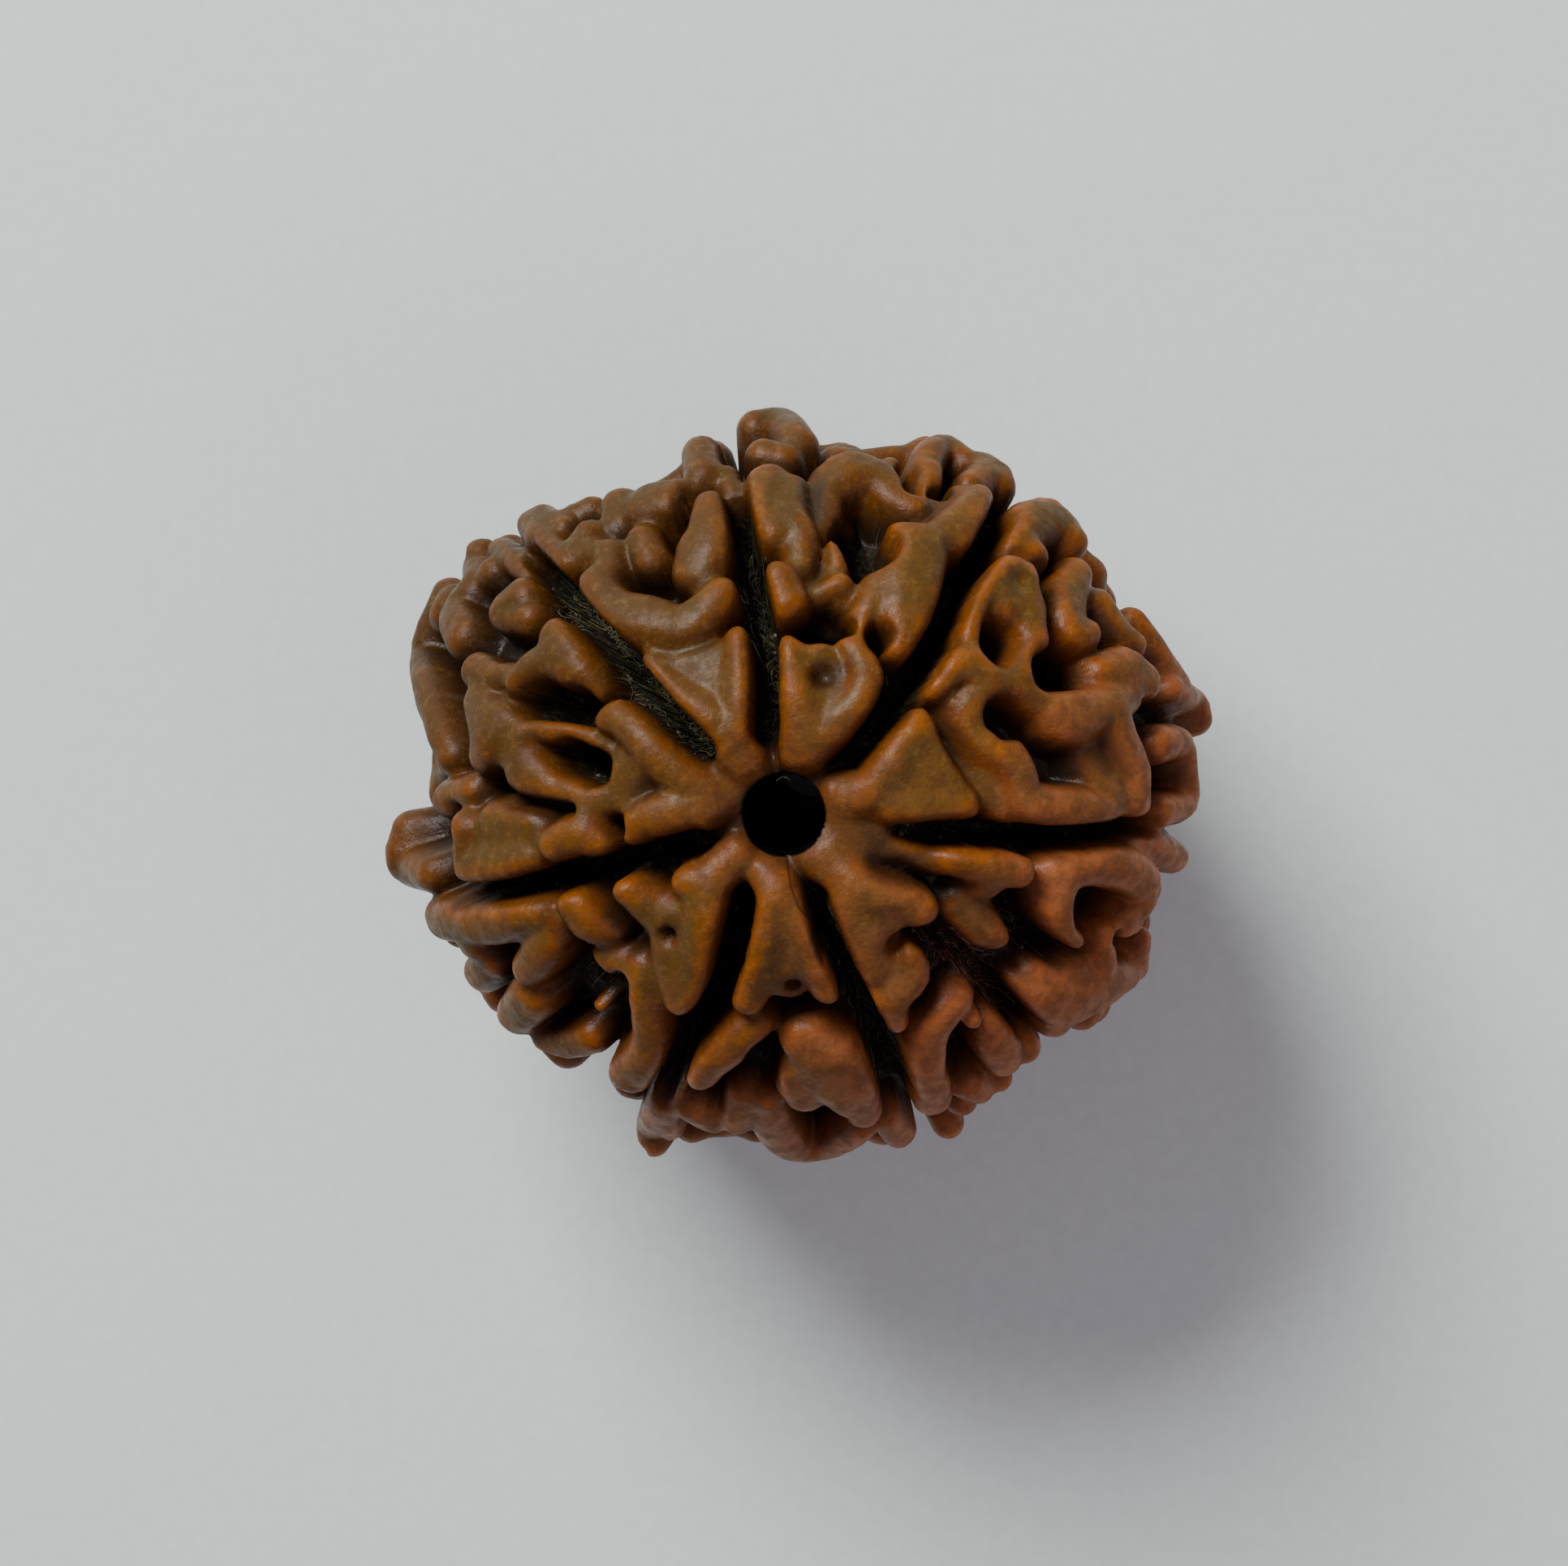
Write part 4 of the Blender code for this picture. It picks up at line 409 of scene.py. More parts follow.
def outline_share(rays):
    """How far the bead's outline reaches on the side of each ray, as a share of the crest ellipse."""
    x = np.array([across - BEAD_PIXEL[0] for across, _ in OUTLINE]) / PIXELS_PER_MM / CREST_AXES[0]
    y = np.array([BEAD_PIXEL[1] - down for _, down in OUTLINE]) / PIXELS_PER_MM / CREST_AXES[1]
    turns = np.arctan2(rays[:, 1] / CREST_AXES[1], rays[:, 0] / CREST_AXES[0])
    return np.interp(turns, np.arctan2(y, x), np.hypot(x, y), period=math.tau)


def crest_radius(rays):
    """Distance from the bead's middle to the crests along unit vectors: an ellipsoid that takes on the
    outline's shape towards the equator."""
    level = (1.0 - rays[:, 2] ** 2) ** EQUATOR_HOLD
    return (1.0 + level * (outline_share(rays) - 1.0)) / np.linalg.norm(rays / CREST_AXES, axis=-1)


def smooth_line(points):
    """Points on a spline through a line of points, each with its width and depth."""
    if len(points) < 3:
        return points
    ends = np.array([2 * np.array(points[0]) - points[1], *points, 2 * np.array(points[-1]) - points[-2]])
    line = [ends[1]]
    for before, start, stop, after in zip(ends, ends[1:], ends[2:], ends[3:]):
        for i in range(1, SPLINE_STEPS + 1):
            t = i / SPLINE_STEPS
            square = (2 * before - 5 * start + 4 * stop - after) * t**2
            cube = (3 * start - before - 3 * stop + after) * t**3
            line.append(start + ((stop - before) * t + square + cube) / 2)
    return line


def ridge_from_pixels(points):
    """A ridge as unit vectors, crest distances and half widths."""
    points = smooth_line(points)
    crests = np.array([crest_at_pixel(*edge_on(across, down), drop) for across, down, _, drop in points])
    return unit(crests), np.linalg.norm(crests, axis=1), np.array([half + WIDEN for _, _, half, _ in points])


def cut_from_pixels(points):
    """A groove or pit in the same form, its floor's depth measured straight down from the crests."""
    points = smooth_line(points)
    rays = unit(np.array([crest_at_pixel(across, down, 0.0) for across, down, _, _ in points]))
    return rays, crest_radius(rays) - np.array([p[3] for p in points]), np.array([p[2] for p in points])


def from_angles(points):
    """A ridge or cut from degrees round the bore, polar angle, half width and depth."""
    turn, polar = (np.radians([point[i] for point in points]) for i in (0, 1))
    rays = np.stack((np.cos(turn) * np.sin(polar), np.sin(turn) * np.sin(polar), np.cos(polar)), axis=1)
    return rays, crest_radius(rays) - np.array([p[3] for p in points]), np.array([p[2] for p in points])


def all_cuts():
    cuts = [cut_from_pixels(points) for table in (GROOVE_LINES, PITS) for points in table.values()]
    return cuts + underside_grooves()


def groove_turns():
    """Where each groove leaves the upper side, in degrees round the bore."""
    ends = [cut_from_pixels(points[-1:])[0][0] for points in GROOVE_LINES.values()]
    return sorted(math.degrees(math.atan2(end[1], end[0])) for end in ends)


def underside_grooves():
    return [from_angles([(turn, *point) for point in UNDER_GROOVE]) for turn in groove_turns()]


def knob_row(rng, polar, low, high):
    """A row of knobs across a face, as turn, polar angle, half width and drop."""
    width = math.radians(high - low) * CREST_AXES[0] * math.sin(math.radians(polar))
    count = max(2, round(width / KNOB_SPACING) + 1)
    row = []
    for i in range(count):
        sway = 0.0 if i in (0, count - 1) else rng.uniform(-KNOB_SWAY, KNOB_SWAY)
        turn = low + (high - low) * i / (count - 1) + sway
        shifted = polar + rng.uniform(-KNOB_JITTER, KNOB_JITTER)
        row.append((turn, shifted, rng.uniform(*KNOB_HALF_WIDTH), rng.uniform(*KNOB_DROP)))
    return row


def link(first, second):
    """A lower ridge from knob to knob."""
    ends = [(turn, polar, half * LINK_HALF, drop + LINK_DROP) for turn, polar, half, drop in (first, second)]
    return from_angles(ends)


def stands_free(knobs, ridges):
    """Whether each knob is clear of the ridges."""
    rays = from_angles(knobs)[0]
    free = np.ones(len(knobs), dtype=bool)
    for some, stretches in footprints(rays, ridges, REACH):
        for away, height, half in stretches:
            free[some] &= away * height > half + KNOB_CLEARANCE
    return free


def wedge(rng, middle, spread):
    """Two arms that part from one root, and a pad between them."""
    root, tips = UNDER_WEDGE
    arm, pad = WEDGE_HALF
    lines = [[(middle, (root + tips) / 2, pad, WEDGE_DROP)]]
    for turn in (middle - spread, middle + spread):
        polar = tips + rng.uniform(-WEDGE_JITTER, WEDGE_JITTER)
        lines.append([(middle, root, arm, WEDGE_DROP), (turn, polar, arm, -rng.uniform(*SHOULDER_RISE))])
    return [from_angles(line) for line in lines]


def underside_ridges(upper):
    """Knobs in rows on each face, linked at random into a net, and a wedge near the lower pole."""
    rng = random.Random(UNDER_SEED)
    ridges = [from_angles([(0.0, 180.0, *UNDER_HUB)])]
    turns = groove_turns()
    for start, end in zip(turns, turns[1:] + [turns[0] + 360.0]):
        above = []
        for polar in UNDER_ROWS:
            ring = CREST_AXES[0] * math.sin(math.radians(polar))
            margin = math.degrees((GROOVE_HALF + KNOB_HALF_WIDTH[0]) / ring)
            knobs = knob_row(rng, polar, start + margin, end - margin)
            knobs = [knob for knob, free in zip(knobs, stands_free(knobs, upper)) if free]
            ridges += [from_angles([knob]) for knob in knobs]
            ridges += [link(a, b) for a, b in zip(knobs, knobs[1:]) if rng.random() < LINK_CHANCE]
            ridges += [link(a, min(above, key=lambda b: abs(b[0] - a[0]))) for a in knobs
                       if above and rng.random() < LINK_CHANCE]
            above = knobs
        ridges += wedge(rng, (start + end) / 2, (end - start) * WEDGE_SPREAD)
    return ridges


def footprints(rays, shapes, reach):
    """For each ridge or cut: the rays it may touch and, for each of its stretches, how far aside they
    pass, its height there and its half width there."""
    found = []
    for heads, heights, halves in shapes:
        middle = unit(heads.mean(axis=0))
        spread = math.acos(min(1.0, (heads @ middle).min())) + (halves.max() + reach) / CREST_AXES.min()
        some = np.nonzero(rays @ middle > math.cos(spread))[0]
        if not len(some):
            continue
        stretches = []
        for i in range(max(1, len(heads) - 1)):
            j = min(i + 1, len(heads) - 1)
            along = heads[j] - heads[i]
            share = np.clip((rays[some] - heads[i]) @ along / max(along @ along, 1e-12), 0.0, 1.0)
            away = np.linalg.norm(rays[some] - unit(heads[i] + share[:, None] * along), axis=1)
            height = heights[i] + share * (heights[j] - heights[i])
            stretches.append((away, height, halves[i] + share * (halves[j] - halves[i])))
        found.append((some, stretches))
    return found


def wall_distance(radii, away, height, half):
    """Signed distance to a ridge: a wall with a crowned top and round shoulders, wider towards its foot."""
    shoulder = np.minimum(half, EDGE_ROUND)
    aside = away * radii - half - FLARE * np.maximum(height - radii, 0.0) + shoulder
    above = radii - height + shoulder + CROWN * np.minimum(away * radii, half) ** 2
    outside = np.hypot(np.maximum(aside, 0.0), np.maximum(above, 0.0))
    return outside + np.minimum(np.maximum(aside, above), 0.0) - shoulder


def cut_distance(radii, away, floor, half):
    """Signed distance to a cut: a slot with a round floor that widens towards the crests."""
    aside = away * radii - half - FLARE * np.maximum(radii - floor, 0.0) + half
    below = floor - radii + half
    outside = np.hypot(np.maximum(aside, 0.0), np.maximum(below, 0.0))
    return outside + np.minimum(np.maximum(aside, below), 0.0) - half


def smooth_minimum(a, b, size):
    mix = np.maximum(size - np.abs(a - b), 0.0) / size
    return np.minimum(a, b) - mix * mix * size / 4


def joined(distance, radii, found, measure, blend):
    """Adds ridges or cuts: the stretches of each one meet plainly, and it meets the rest in a fillet."""
    for some, stretches in found:
        nearest = np.min([measure(radii[some], *stretch) for stretch in stretches], axis=0)
        distance[some] = smooth_minimum(distance[some], nearest, blend)
    return distance


def surface_distance(radii, crests, walls, cuts):
    """Signed distance from a point on each ray to the bead's surface, bore left out."""
    solid = joined(radii - (crests - BODY_DEPTH), radii, walls, wall_distance, BLEND)
    return -joined(-solid, radii, cuts, cut_distance, CUT_BLEND)


def surface_radii(rays):
    """How far out each ray leaves the surface for good: marched inwards, then halved."""
    upper = [ridge_from_pixels(points) for face in FACES for points in face.values()]
    ridges = upper + underside_ridges(upper)
    shapes = footprints(rays, ridges, REACH), footprints(rays, all_cuts(), REACH)
    crests = crest_radius(rays)
    outer = crests + MARCH_START
    open_air = np.ones(len(rays), dtype=bool)
    for _ in range(round((MARCH_START + MARCH_DEPTH) / MARCH_STEP)):
        open_air &= surface_distance(outer, crests, *shapes) > 0.0
        outer = np.where(open_air, outer - MARCH_STEP, outer)
    inner, outer = outer.copy(), outer + MARCH_STEP
    for _ in range(HALVINGS):
        middle = (inner + outer) / 2
        within = surface_distance(middle, crests, *shapes) < 0.0
        inner, outer = np.where(within, middle, inner), np.where(within, outer, middle)
    return (inner + outer) / 2


# The finer piece
SUBDIVISIONS = 8
FINE_TRIANGLES = 176000
SIDES_OF_BORE = 96
MOUTH = (0.55, 0.2)  # the bore's worn mouth: how far it reaches past the bore's wall, and how deep, in mm
WAVES = ((1.1, 0.045), (0.45, 0.02))  # unevenness of the surface: size and height of each layer, in mm
SHARP_ANGLE = 62.0  # an edge that turns by more stays sharp, in degrees
CUT_REACH = (1.5, 2.0)  # how far the nearest cut is looked for, and the distance noted where there is none
BEND_ROUNDS = (3, 24)  # how often the fine and the broad bend are averaged over the neighbours

# Dried pulp. Fibres by colour: their radii in mm, and a light and a dark tone
FIBRES = {
    "straw": ((0.007, 0.016), ((122, 114, 66), (70, 68, 36))),
    "umber": ((0.014, 0.034), ((54, 50, 30), (21, 19, 10))),
    "rust": ((0.012, 0.028), ((142, 74, 58), (72, 37, 28))),
}
# How many fibres of each of these colours lie in a groove or pit
BEDS = {
    "north": (80, 180, 0),
    "north_east": (16, 110, 0),
    "east": (14, 200, 30),
    "south_south_east": (50, 200, 0),
    "south_south_west": (34, 70, 0),
    "west": (14, 110, 0),
    "north_west": (220, 300, 0),
    "east_south_east": (24, 130, 200),
    "south_west_slot": (34, 30, 0),
    "south_west_deep": (18, 40, 0),
    "south_east_gap": (0, 20, 26),
    "south_east_crescent": (0, 30, 34),
    "south_pit": (0, 30, 0),
    "south_slot": (0, 30, 0),
    "east_deep": (4, 30, 0),
    "north_deep": (6, 36, 0),
    "west_deep": (6, 16, 0),
    "west_slot": (4, 20, 0),
}
UNDER_BED = (26, 90, 0)
FIBRE_SEED = 5
FIBRE_LENGTH = (0.4, 1.7)
FIBRE_TAPER = 0.6  # share of its thickness that a fibre loses to its end
FIBRE_LIFT = (0.03, 0.4)
FIBRE_POINTS = 7
FIBRE_SPREAD = (0.6, 0.25)  # across its bed: share of the half width and of what is added to it, in mm
FIBRE_TURNS = (1.2, 0.55)  # spread of its first heading and of each bend, in radians
FIBRE_COVER = 1.1  # a fibre ends where the surface comes this near to the crests, in mm
CRUMBS = 1800
CRUMB_SIZE = (0.04, 0.14)
CRUMB_STRETCH = (0.6, 1.3)

# Hairline seams from the bore's mouth into the grooves, and a stray fibre at its rim, by pixel
SEAMS = (
    ((963, 958), (959, 925), (955, 900)),
    ((968, 1056), (975, 1090), (985, 1115), (998, 1130)),
)
SEAM_DROP = 0.8  # how deep below the crests the wood lies there, in mm
SEAM_HALF = 0.06
SEAM_SHARE = 0.6
RIM_FIBRE = ((956, 962), (962, 957), (968, 957), (973, 961))

# Noise in the wood: size of its grain in mm, detail, roughness and distortion
GRAINS = {
    "blotches": (2.6, 4.0, 0.55, 0.4),
    "mottle": (0.55, 5.0, 0.65),
    "specks": (0.16, 3.0, 0.7),
    "dust": (0.3, 4.0, 0.75),
}
# Colours as 8-bit screen values
TOP_TONES = ((95, 63, 20), (76, 55, 16))
FLANK_TONES = ((105, 54, 9), (86, 45, 7))
# crust in the grooves and pits: its near-black end is painted shade as well as crust
CRUST_AND_SHADE_TONES = ((12, 9, 5), (50, 43, 24))
PAPER_TONES = ((205, 215, 208), (210, 220, 213))
SEAM_TONE = (24, 11, 6)
# the bore's wall is painted near-black: painted shade
BORE_SHADE_TONE = (4, 3, 2)
# What goes over the wood in turn: what it follows, where it begins and is full, its share there, its colour.
# The last two darken hollows and deep places, partly painted shade and partly dirt.
WORN_AND_SHADED_LAYERS = (
    ("bend", 0.35, 1.3, 0.75, (128, 68, 9)),
    ("from_axis", 4.2, 1.4, 0.6, (106, 60, 26)),
    # painted shade on the side the key light comes from, over the wood's own olive
    ("across", 0.0, -10.0, 0.68, (53, 36, 7)),
    # painted light on the side away from the key light, over the wood's own orange
    ("across", 1.0, 10.0, 0.58, (162, 91, 54)),
    ("mottle", 0.38, 0.66, 0.45, (62, 38, 14)),
    ("specks", 0.52, 0.78, 0.3, (46, 28, 10)),
    ("dust", 0.5, 0.74, 0.22, (142, 112, 60)),
    # painted shade in the hollows, with some dirt
    ("broad_bend", 0.15, -0.7, 0.85, (34, 21, 8)),
    # painted shade deep between the ridges, with some dirt
    ("depth", 0.45, 1.6, 0.9, (22, 14, 6)),
)
BLOTCH_SHIFT = 2.5  # how far the blotches move the border of the olive side, partly painted shade, in mm
CRUST_AND_SHADE_DEPTH = (1.75, 2.5)  # below the crests, where the dark crust and painted shade begin and where they hide the wood, in mm
CRUST_AND_SHADE_RAGGED = 0.3  # how far the mottle moves these borders
CRUST_AND_SHADE_AT_CUT = (0.5, 0.45)  # how near to a cut they rise, and by how much, in mm
ACROSS = (0.7, -0.7, 0.0)  # from the olive side of the bead to its orange side: the olive side faces the key light and is partly painted shade, the orange side faces away and is partly painted light, both over the wood's own tones
FLAT = (1.0, 1.0, 0.0)
BORE_EDGE = (0.07, 0.01)  # outside its wall, where the bore's painted shade begins and is full, in mm
BUMPS = (("mottle", 0.09, 0.5), ("specks", 0.035, 0.55))  # height in mm, strength
WOOD_ROUGHNESS = (0.3, 0.5)
TOP_ROUGHNESS = 0.06  # what the tops of the ridges add to it
DIRT_ROUGHNESS = 0.5  # and what dirt adds
WOOD_SHINE = 0.15
PAPER_ROUGHNESS = 0.7
FIBRE_ROUGHNESS = 0.6

FLOOR_HALF = 1.5
KEY = ((-0.15, 0.26, 0.265), 0.18, 2.8)  # place, size and power of the main light
FILL = ((0.26, -0.16, 0.34), 0.3, 0.3)
AMBIENT = ((0.9, 0.74, 0.96, 1.0), 0.33)  # colour and strength
SENSOR_WIDTH = 36.0


class Graph:
    """A new material's nodes. What a socket is given is a number, a colour or another node's output."""

    def __init__(self, name):
        self.material = bpy.data.materials.new(name)
        self.material.use_nodes = True
        self.tree = self.material.node_tree
        self.shader = self.tree.nodes["Principled BSDF"]

    def feed(self, socket, value):
        if isinstance(value, bpy.types.NodeSocket):
            self.tree.links.new(value, socket)
        else:
            socket.default_value = value

    def add(self, kind, given, output=0, **settings):
        node = self.tree.nodes.new(kind)
        for name, value in settings.items():
            setattr(node, name, value)
        for key, value in given.items():
            self.feed(node.inputs[key], value)
        return node.outputs[output]

    def math(self, operation, a, b=0.0):
        return self.add("ShaderNodeMath", {0: a, 1: b}, operation=operation)

    def vector(self, operation, a, b=(0.0, 0.0, 0.0)):
        """Vector arithmetic. Some of it gives a number, and a scale factor has a socket of its own."""
        output = 1 if operation in ("DOT_PRODUCT", "LENGTH", "DISTANCE") else 0
        given = {0: a, 3 if operation == "SCALE" else 1: b}
        return self.add("ShaderNodeVectorMath", given, output, operation=operation)

    def ramp(self, value, low, high, start=0.0, end=1.0):
        """Goes smoothly from start to end while the value goes from low to high."""
        given = {"Value": value, "From Min": low, "From Max": high, "To Min": start, "To Max": end}
        return self.add("ShaderNodeMapRange", given, interpolation_type="SMOOTHSTEP")

    def mix(self, share, first, second):
        return self.add("ShaderNodeMix", {0: share, 6: first, 7: second}, output=2, data_type="RGBA")

    def tones(self, value, low, high, pair):
        """Goes from the first colour of a pair to the second."""
        return self.mix(self.ramp(value, low, high), *(colour(*tone) for tone in pair))

    def attribute(self, name):
        return self.add("ShaderNodeAttribute", {}, output=2, attribute_name=name)

    def place(self):
        """Where a point is on the object, in millimetres."""
        return self.vector("SCALE", self.add("ShaderNodeTexCoord", {}, output=3), 1.0 / MM)

    def noise(self, place, size, detail, roughness=0.55, distortion=0.0):
        given = {"Vector": place, "Scale": 1.0 / size, "Detail": detail, "Roughness": roughness,
                 "Distortion": distortion}
        return self.add("ShaderNodeTexNoise", given)

    def bump(self, height, distance, strength, below):
        given = {"Height": height, "Distance": distance * MM, "Strength": strength, **below}
        return self.add("ShaderNodeBump", given)

    def finish(self, sockets):
        for name, value in sockets.items():
            self.feed(self.shader.inputs[name], value)
        return self.material


def colour(red, green, blue):
    """A colour from its 8-bit screen values."""
    values = [((v / 255 + 0.055) / 1.055) ** 2.4 if v > 10 else v / 255 / 12.92 for v in (red, green, blue)]
    return (*values, 1.0)


def linked(name, data):
    thing = bpy.data.objects.new(name, data)
    bpy.context.scene.collection.objects.link(thing)
    return thing


def mesh_data(name, mesh):
    data = bpy.data.meshes.new(name)
    mesh.to_mesh(data)
    mesh.free()
    return data


def scene_places(rays, radii):
    """Points in the scene from their rays and their distances from the bead's middle."""
    return (rays * radii[:, None] + CENTRE) * MM


def make_camera():
    """The photograph's view: the axes that place the ridges place the camera too."""
    data = bpy.data.cameras.new("camera")
    data.sensor_width = SENSOR_WIDTH
    data.lens = SENSOR_WIDTH * PIXELS_PER_MM * VIEW_DISTANCE / (2 * PICTURE_MIDDLE[0])
    data.clip_start = MM
    camera = linked("camera", data)
    turn = Matrix([Vector(axis) for axis in view_axes()]).transposed().to_4x4()
    camera.matrix_world = Matrix.Translation(Vector(CENTRE + camera_place()) * MM) @ turn
    bpy.context.scene.camera = camera


def make_floor():
    mesh = bmesh.new()
    bmesh.ops.create_grid(mesh, x_segments=1, y_segments=1, size=FLOOR_HALF)
    floor = linked("floor", mesh_data("floor", mesh))
    graph = Graph("pale_paper")
    grain = graph.noise(graph.place(), 0.5, 4.0)
    tint = graph.tones(grain, 0.3, 0.7, PAPER_TONES)
    floor.data.materials.append(graph.finish({"Base Color": tint, "Roughness": PAPER_ROUGHNESS}))


def make_light(name, place, size, power):
    data = bpy.data.lights.new(name, "AREA")
    data.size = size
    data.energy = power
    light = linked(name, data)
    light.location = place
    light.rotation_euler = (Vector(place) - Vector(CENTRE) * MM).to_track_quat("Z", "Y").to_euler()


def make_lights():
    make_light("key_light", *KEY)
    make_light("fill_light", *FILL)
    world = bpy.data.worlds.new("studio")
    world.use_nodes = True
    for name, value in zip(("Color", "Strength"), AMBIENT):
        world.node_tree.nodes["Background"].inputs[name].default_value = value
    bpy.context.scene.world = world


def mouth_dip(rays, radii):
    """How much lower the surface is round the bore's mouth, where cord and fingers have worn it."""
    aside = radii * np.hypot(rays[:, 0], rays[:, 1]) - BORE_RADIUS
    reach, depth = MOUTH
    return depth * np.clip(1.0 - aside / reach, 0.0, 1.0) ** 2


def waves(rays):
    """Small unevenness of the wood."""
    heights = np.zeros(len(rays))
    for size, height in WAVES:
        scale = CREST_AXES[0] / size
        heights += height * np.array([noise.noise(Vector(ray) * scale) for ray in rays])
    return heights


def fine_sphere():
    mesh = bmesh.new()
    bmesh.ops.create_icosphere(mesh, subdivisions=SUBDIVISIONS, radius=1.0)
    rays = unit(np.array([vertex.co for vertex in mesh.verts]))
    radii = surface_radii(rays)
    radii += waves(rays) - mouth_dip(rays, radii)
    for vertex, place in zip(mesh.verts, scene_places(rays, radii)):
        vertex.co = place
    return mesh_data("fine_bead", mesh)


def bore_tool():
    mesh = bmesh.new()
    bmesh.ops.create_cone(mesh, cap_ends=True, segments=SIDES_OF_BORE, radius1=BORE_RADIUS * MM,
                          radius2=BORE_RADIUS * MM, depth=3 * CREST_AXES[2] * MM)
    bmesh.ops.translate(mesh, verts=mesh.verts, vec=CENTRE * MM)
    return linked("bore_tool", mesh_data("bore_tool", mesh))


def evaluated(piece):
    bpy.context.view_layer.update()
    depsgraph = bpy.context.evaluated_depsgraph_get()
    return bpy.data.meshes.new_from_object(piece.evaluated_get(depsgraph))


def flatten_foot(data):
    """Cuts the lowest shoulders off at the resting plane."""
    mesh = bmesh.new()
    mesh.from_mesh(data)
    parts = mesh.verts[:] + mesh.edges[:] + mesh.faces[:]
    cut = bmesh.ops.bisect_plane(mesh, geom=parts, plane_co=(0, 0, 0), plane_no=(0, 0, -1), clear_outer=True)
    edges = [part for part in cut["geom_cut"] if isinstance(part, bmesh.types.BMEdge)]
    bmesh.ops.holes_fill(mesh, edges=edges)
    bmesh.ops.triangulate(mesh, faces=[face for face in mesh.faces if len(face.verts) > 4])
    mesh.to_mesh(data)
    mesh.free()


def make_bead():
    draft = linked("draft", fine_sphere())
    thin = draft.modifiers.new("fewer_faces", "DECIMATE")
    thin.ratio = min(1.0, FINE_TRIANGLES / len(draft.data.polygons))
    tool = bore_tool()
    bore = draft.modifiers.new("bore", "BOOLEAN")
    bore.operation = "DIFFERENCE"
    bore.object = tool
    data = evaluated(draft)
    for object_ in (draft, tool):
        bpy.data.objects.remove(object_)
    flatten_foot(data)
    data.shade_smooth()
    data.set_sharp_from_angle(angle=math.radians(SHARP_ANGLE))
    mark_surface(data)
    data.materials.clear()
    data.materials.append(wood_material())
    bead = linked("bead_surface", data)
    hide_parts("rudraksha_bead")
    place_piece(bead)


def place_piece(piece):
    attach(piece, "root")


def read_values(items, name, count, kind=float):
    values = np.empty(len(items) * count, dtype=kind)
    items.foreach_get(name, values)
    return values.reshape(-1, count)


def bend_of(places, normals, ends, rounds):
    """How strongly the surface bends outwards at each vertex, per millimetre, averaged over neighbours."""
    first, second = ends.T
    total = len(places)
    shared = np.bincount(first, minlength=total) + np.bincount(second, minlength=total)
    step = places[first] - places[second]
    square = np.maximum((step * step).sum(axis=1), 1e-6)
    bends = np.zeros(total)
    for here, sign in ((first, 2.0), (second, -2.0)):
        bends += np.bincount(here, sign * (normals[here] * step).sum(axis=1) / square, total)
    bends /= shared + 1e-6
    for _ in range(rounds):
        around = np.bincount(first, bends[second], total) + np.bincount(second, bends[first], total)
        bends = (bends + around) / (1.0 + shared)
    return bends


def mark_surface(data):
    """Stores what the colours depend on: depth below the crests, bends, tilt and how near a cut is."""
    places = read_values(data.vertices, "co", 3) / MM - CENTRE
    normals = read_values(data.vertex_normals, "vector", 3)
    ends = read_values(data.edges, "vertices", 2, np.int32)
    rays, radii = unit(places), np.linalg.norm(places, axis=1)
    reach, none_near = CUT_REACH
    nearest = np.full(len(rays), none_near)
    for some, stretches in footprints(rays, all_cuts(), reach):
        for stretch in stretches:
            nearest[some] = np.minimum(nearest[some], cut_distance(radii[some], *stretch))
    bend, broad_bend = (bend_of(places, normals, ends, rounds) for rounds in BEND_ROUNDS)
    marks = {"depth": crest_radius(rays) - radii, "bend": bend, "broad_bend": broad_bend,
             "facing": (normals * rays).sum(axis=1), "near_cut": nearest}
    for name, values in marks.items():
        data.attributes.new(name, "FLOAT", "POINT").data.foreach_set("value", values.astype(np.float32))


def wood_masks(graph, place):
    """What the colours of the wood follow, by name."""
    masks = {name: graph.attribute(name) for name in ("depth", "bend", "broad_bend", "facing", "near_cut")}
    masks |= {name: graph.noise(place, *grain) for name, grain in GRAINS.items()}
    aside = graph.vector("SUBTRACT", place, (CENTRE[0], CENTRE[1], 0.0))
    masks["from_axis"] = graph.vector("LENGTH", graph.vector("MULTIPLY", aside, FLAT))
    across = graph.vector("DOT_PRODUCT", place, ACROSS)
    shift = graph.ramp(masks["blotches"], 0.3, 0.7, -BLOTCH_SHIFT, BLOTCH_SHIFT)
    masks["across"] = graph.math("ADD", across, shift)
    return masks


def crust_and_shade_share(graph, masks):
    """Where dark crust and painted shade hide the wood: down in the grooves and pits, with a ragged edge."""
    shift = graph.ramp(masks["mottle"], 0.3, 0.7, -CRUST_AND_SHADE_RAGGED, CRUST_AND_SHADE_RAGGED)
    ragged = graph.math("ADD", masks["depth"], shift)
    reach, rise = CRUST_AND_SHADE_AT_CUT
    ragged = graph.math("ADD", ragged, graph.ramp(masks["near_cut"], reach, 0.0, 0.0, rise))
    return graph.ramp(ragged, *CRUST_AND_SHADE_DEPTH)


def wood_gloss(graph, masks, crust_and_shade):
    gloss = graph.ramp(masks["mottle"], 0.35, 0.65, *WOOD_ROUGHNESS)
    gloss = graph.math("ADD", gloss, graph.ramp(masks["facing"], 0.6, 0.98, 0.0, TOP_ROUGHNESS))
    return graph.math("ADD", gloss, graph.math("MULTIPLY", crust_and_shade, DIRT_ROUGHNESS))


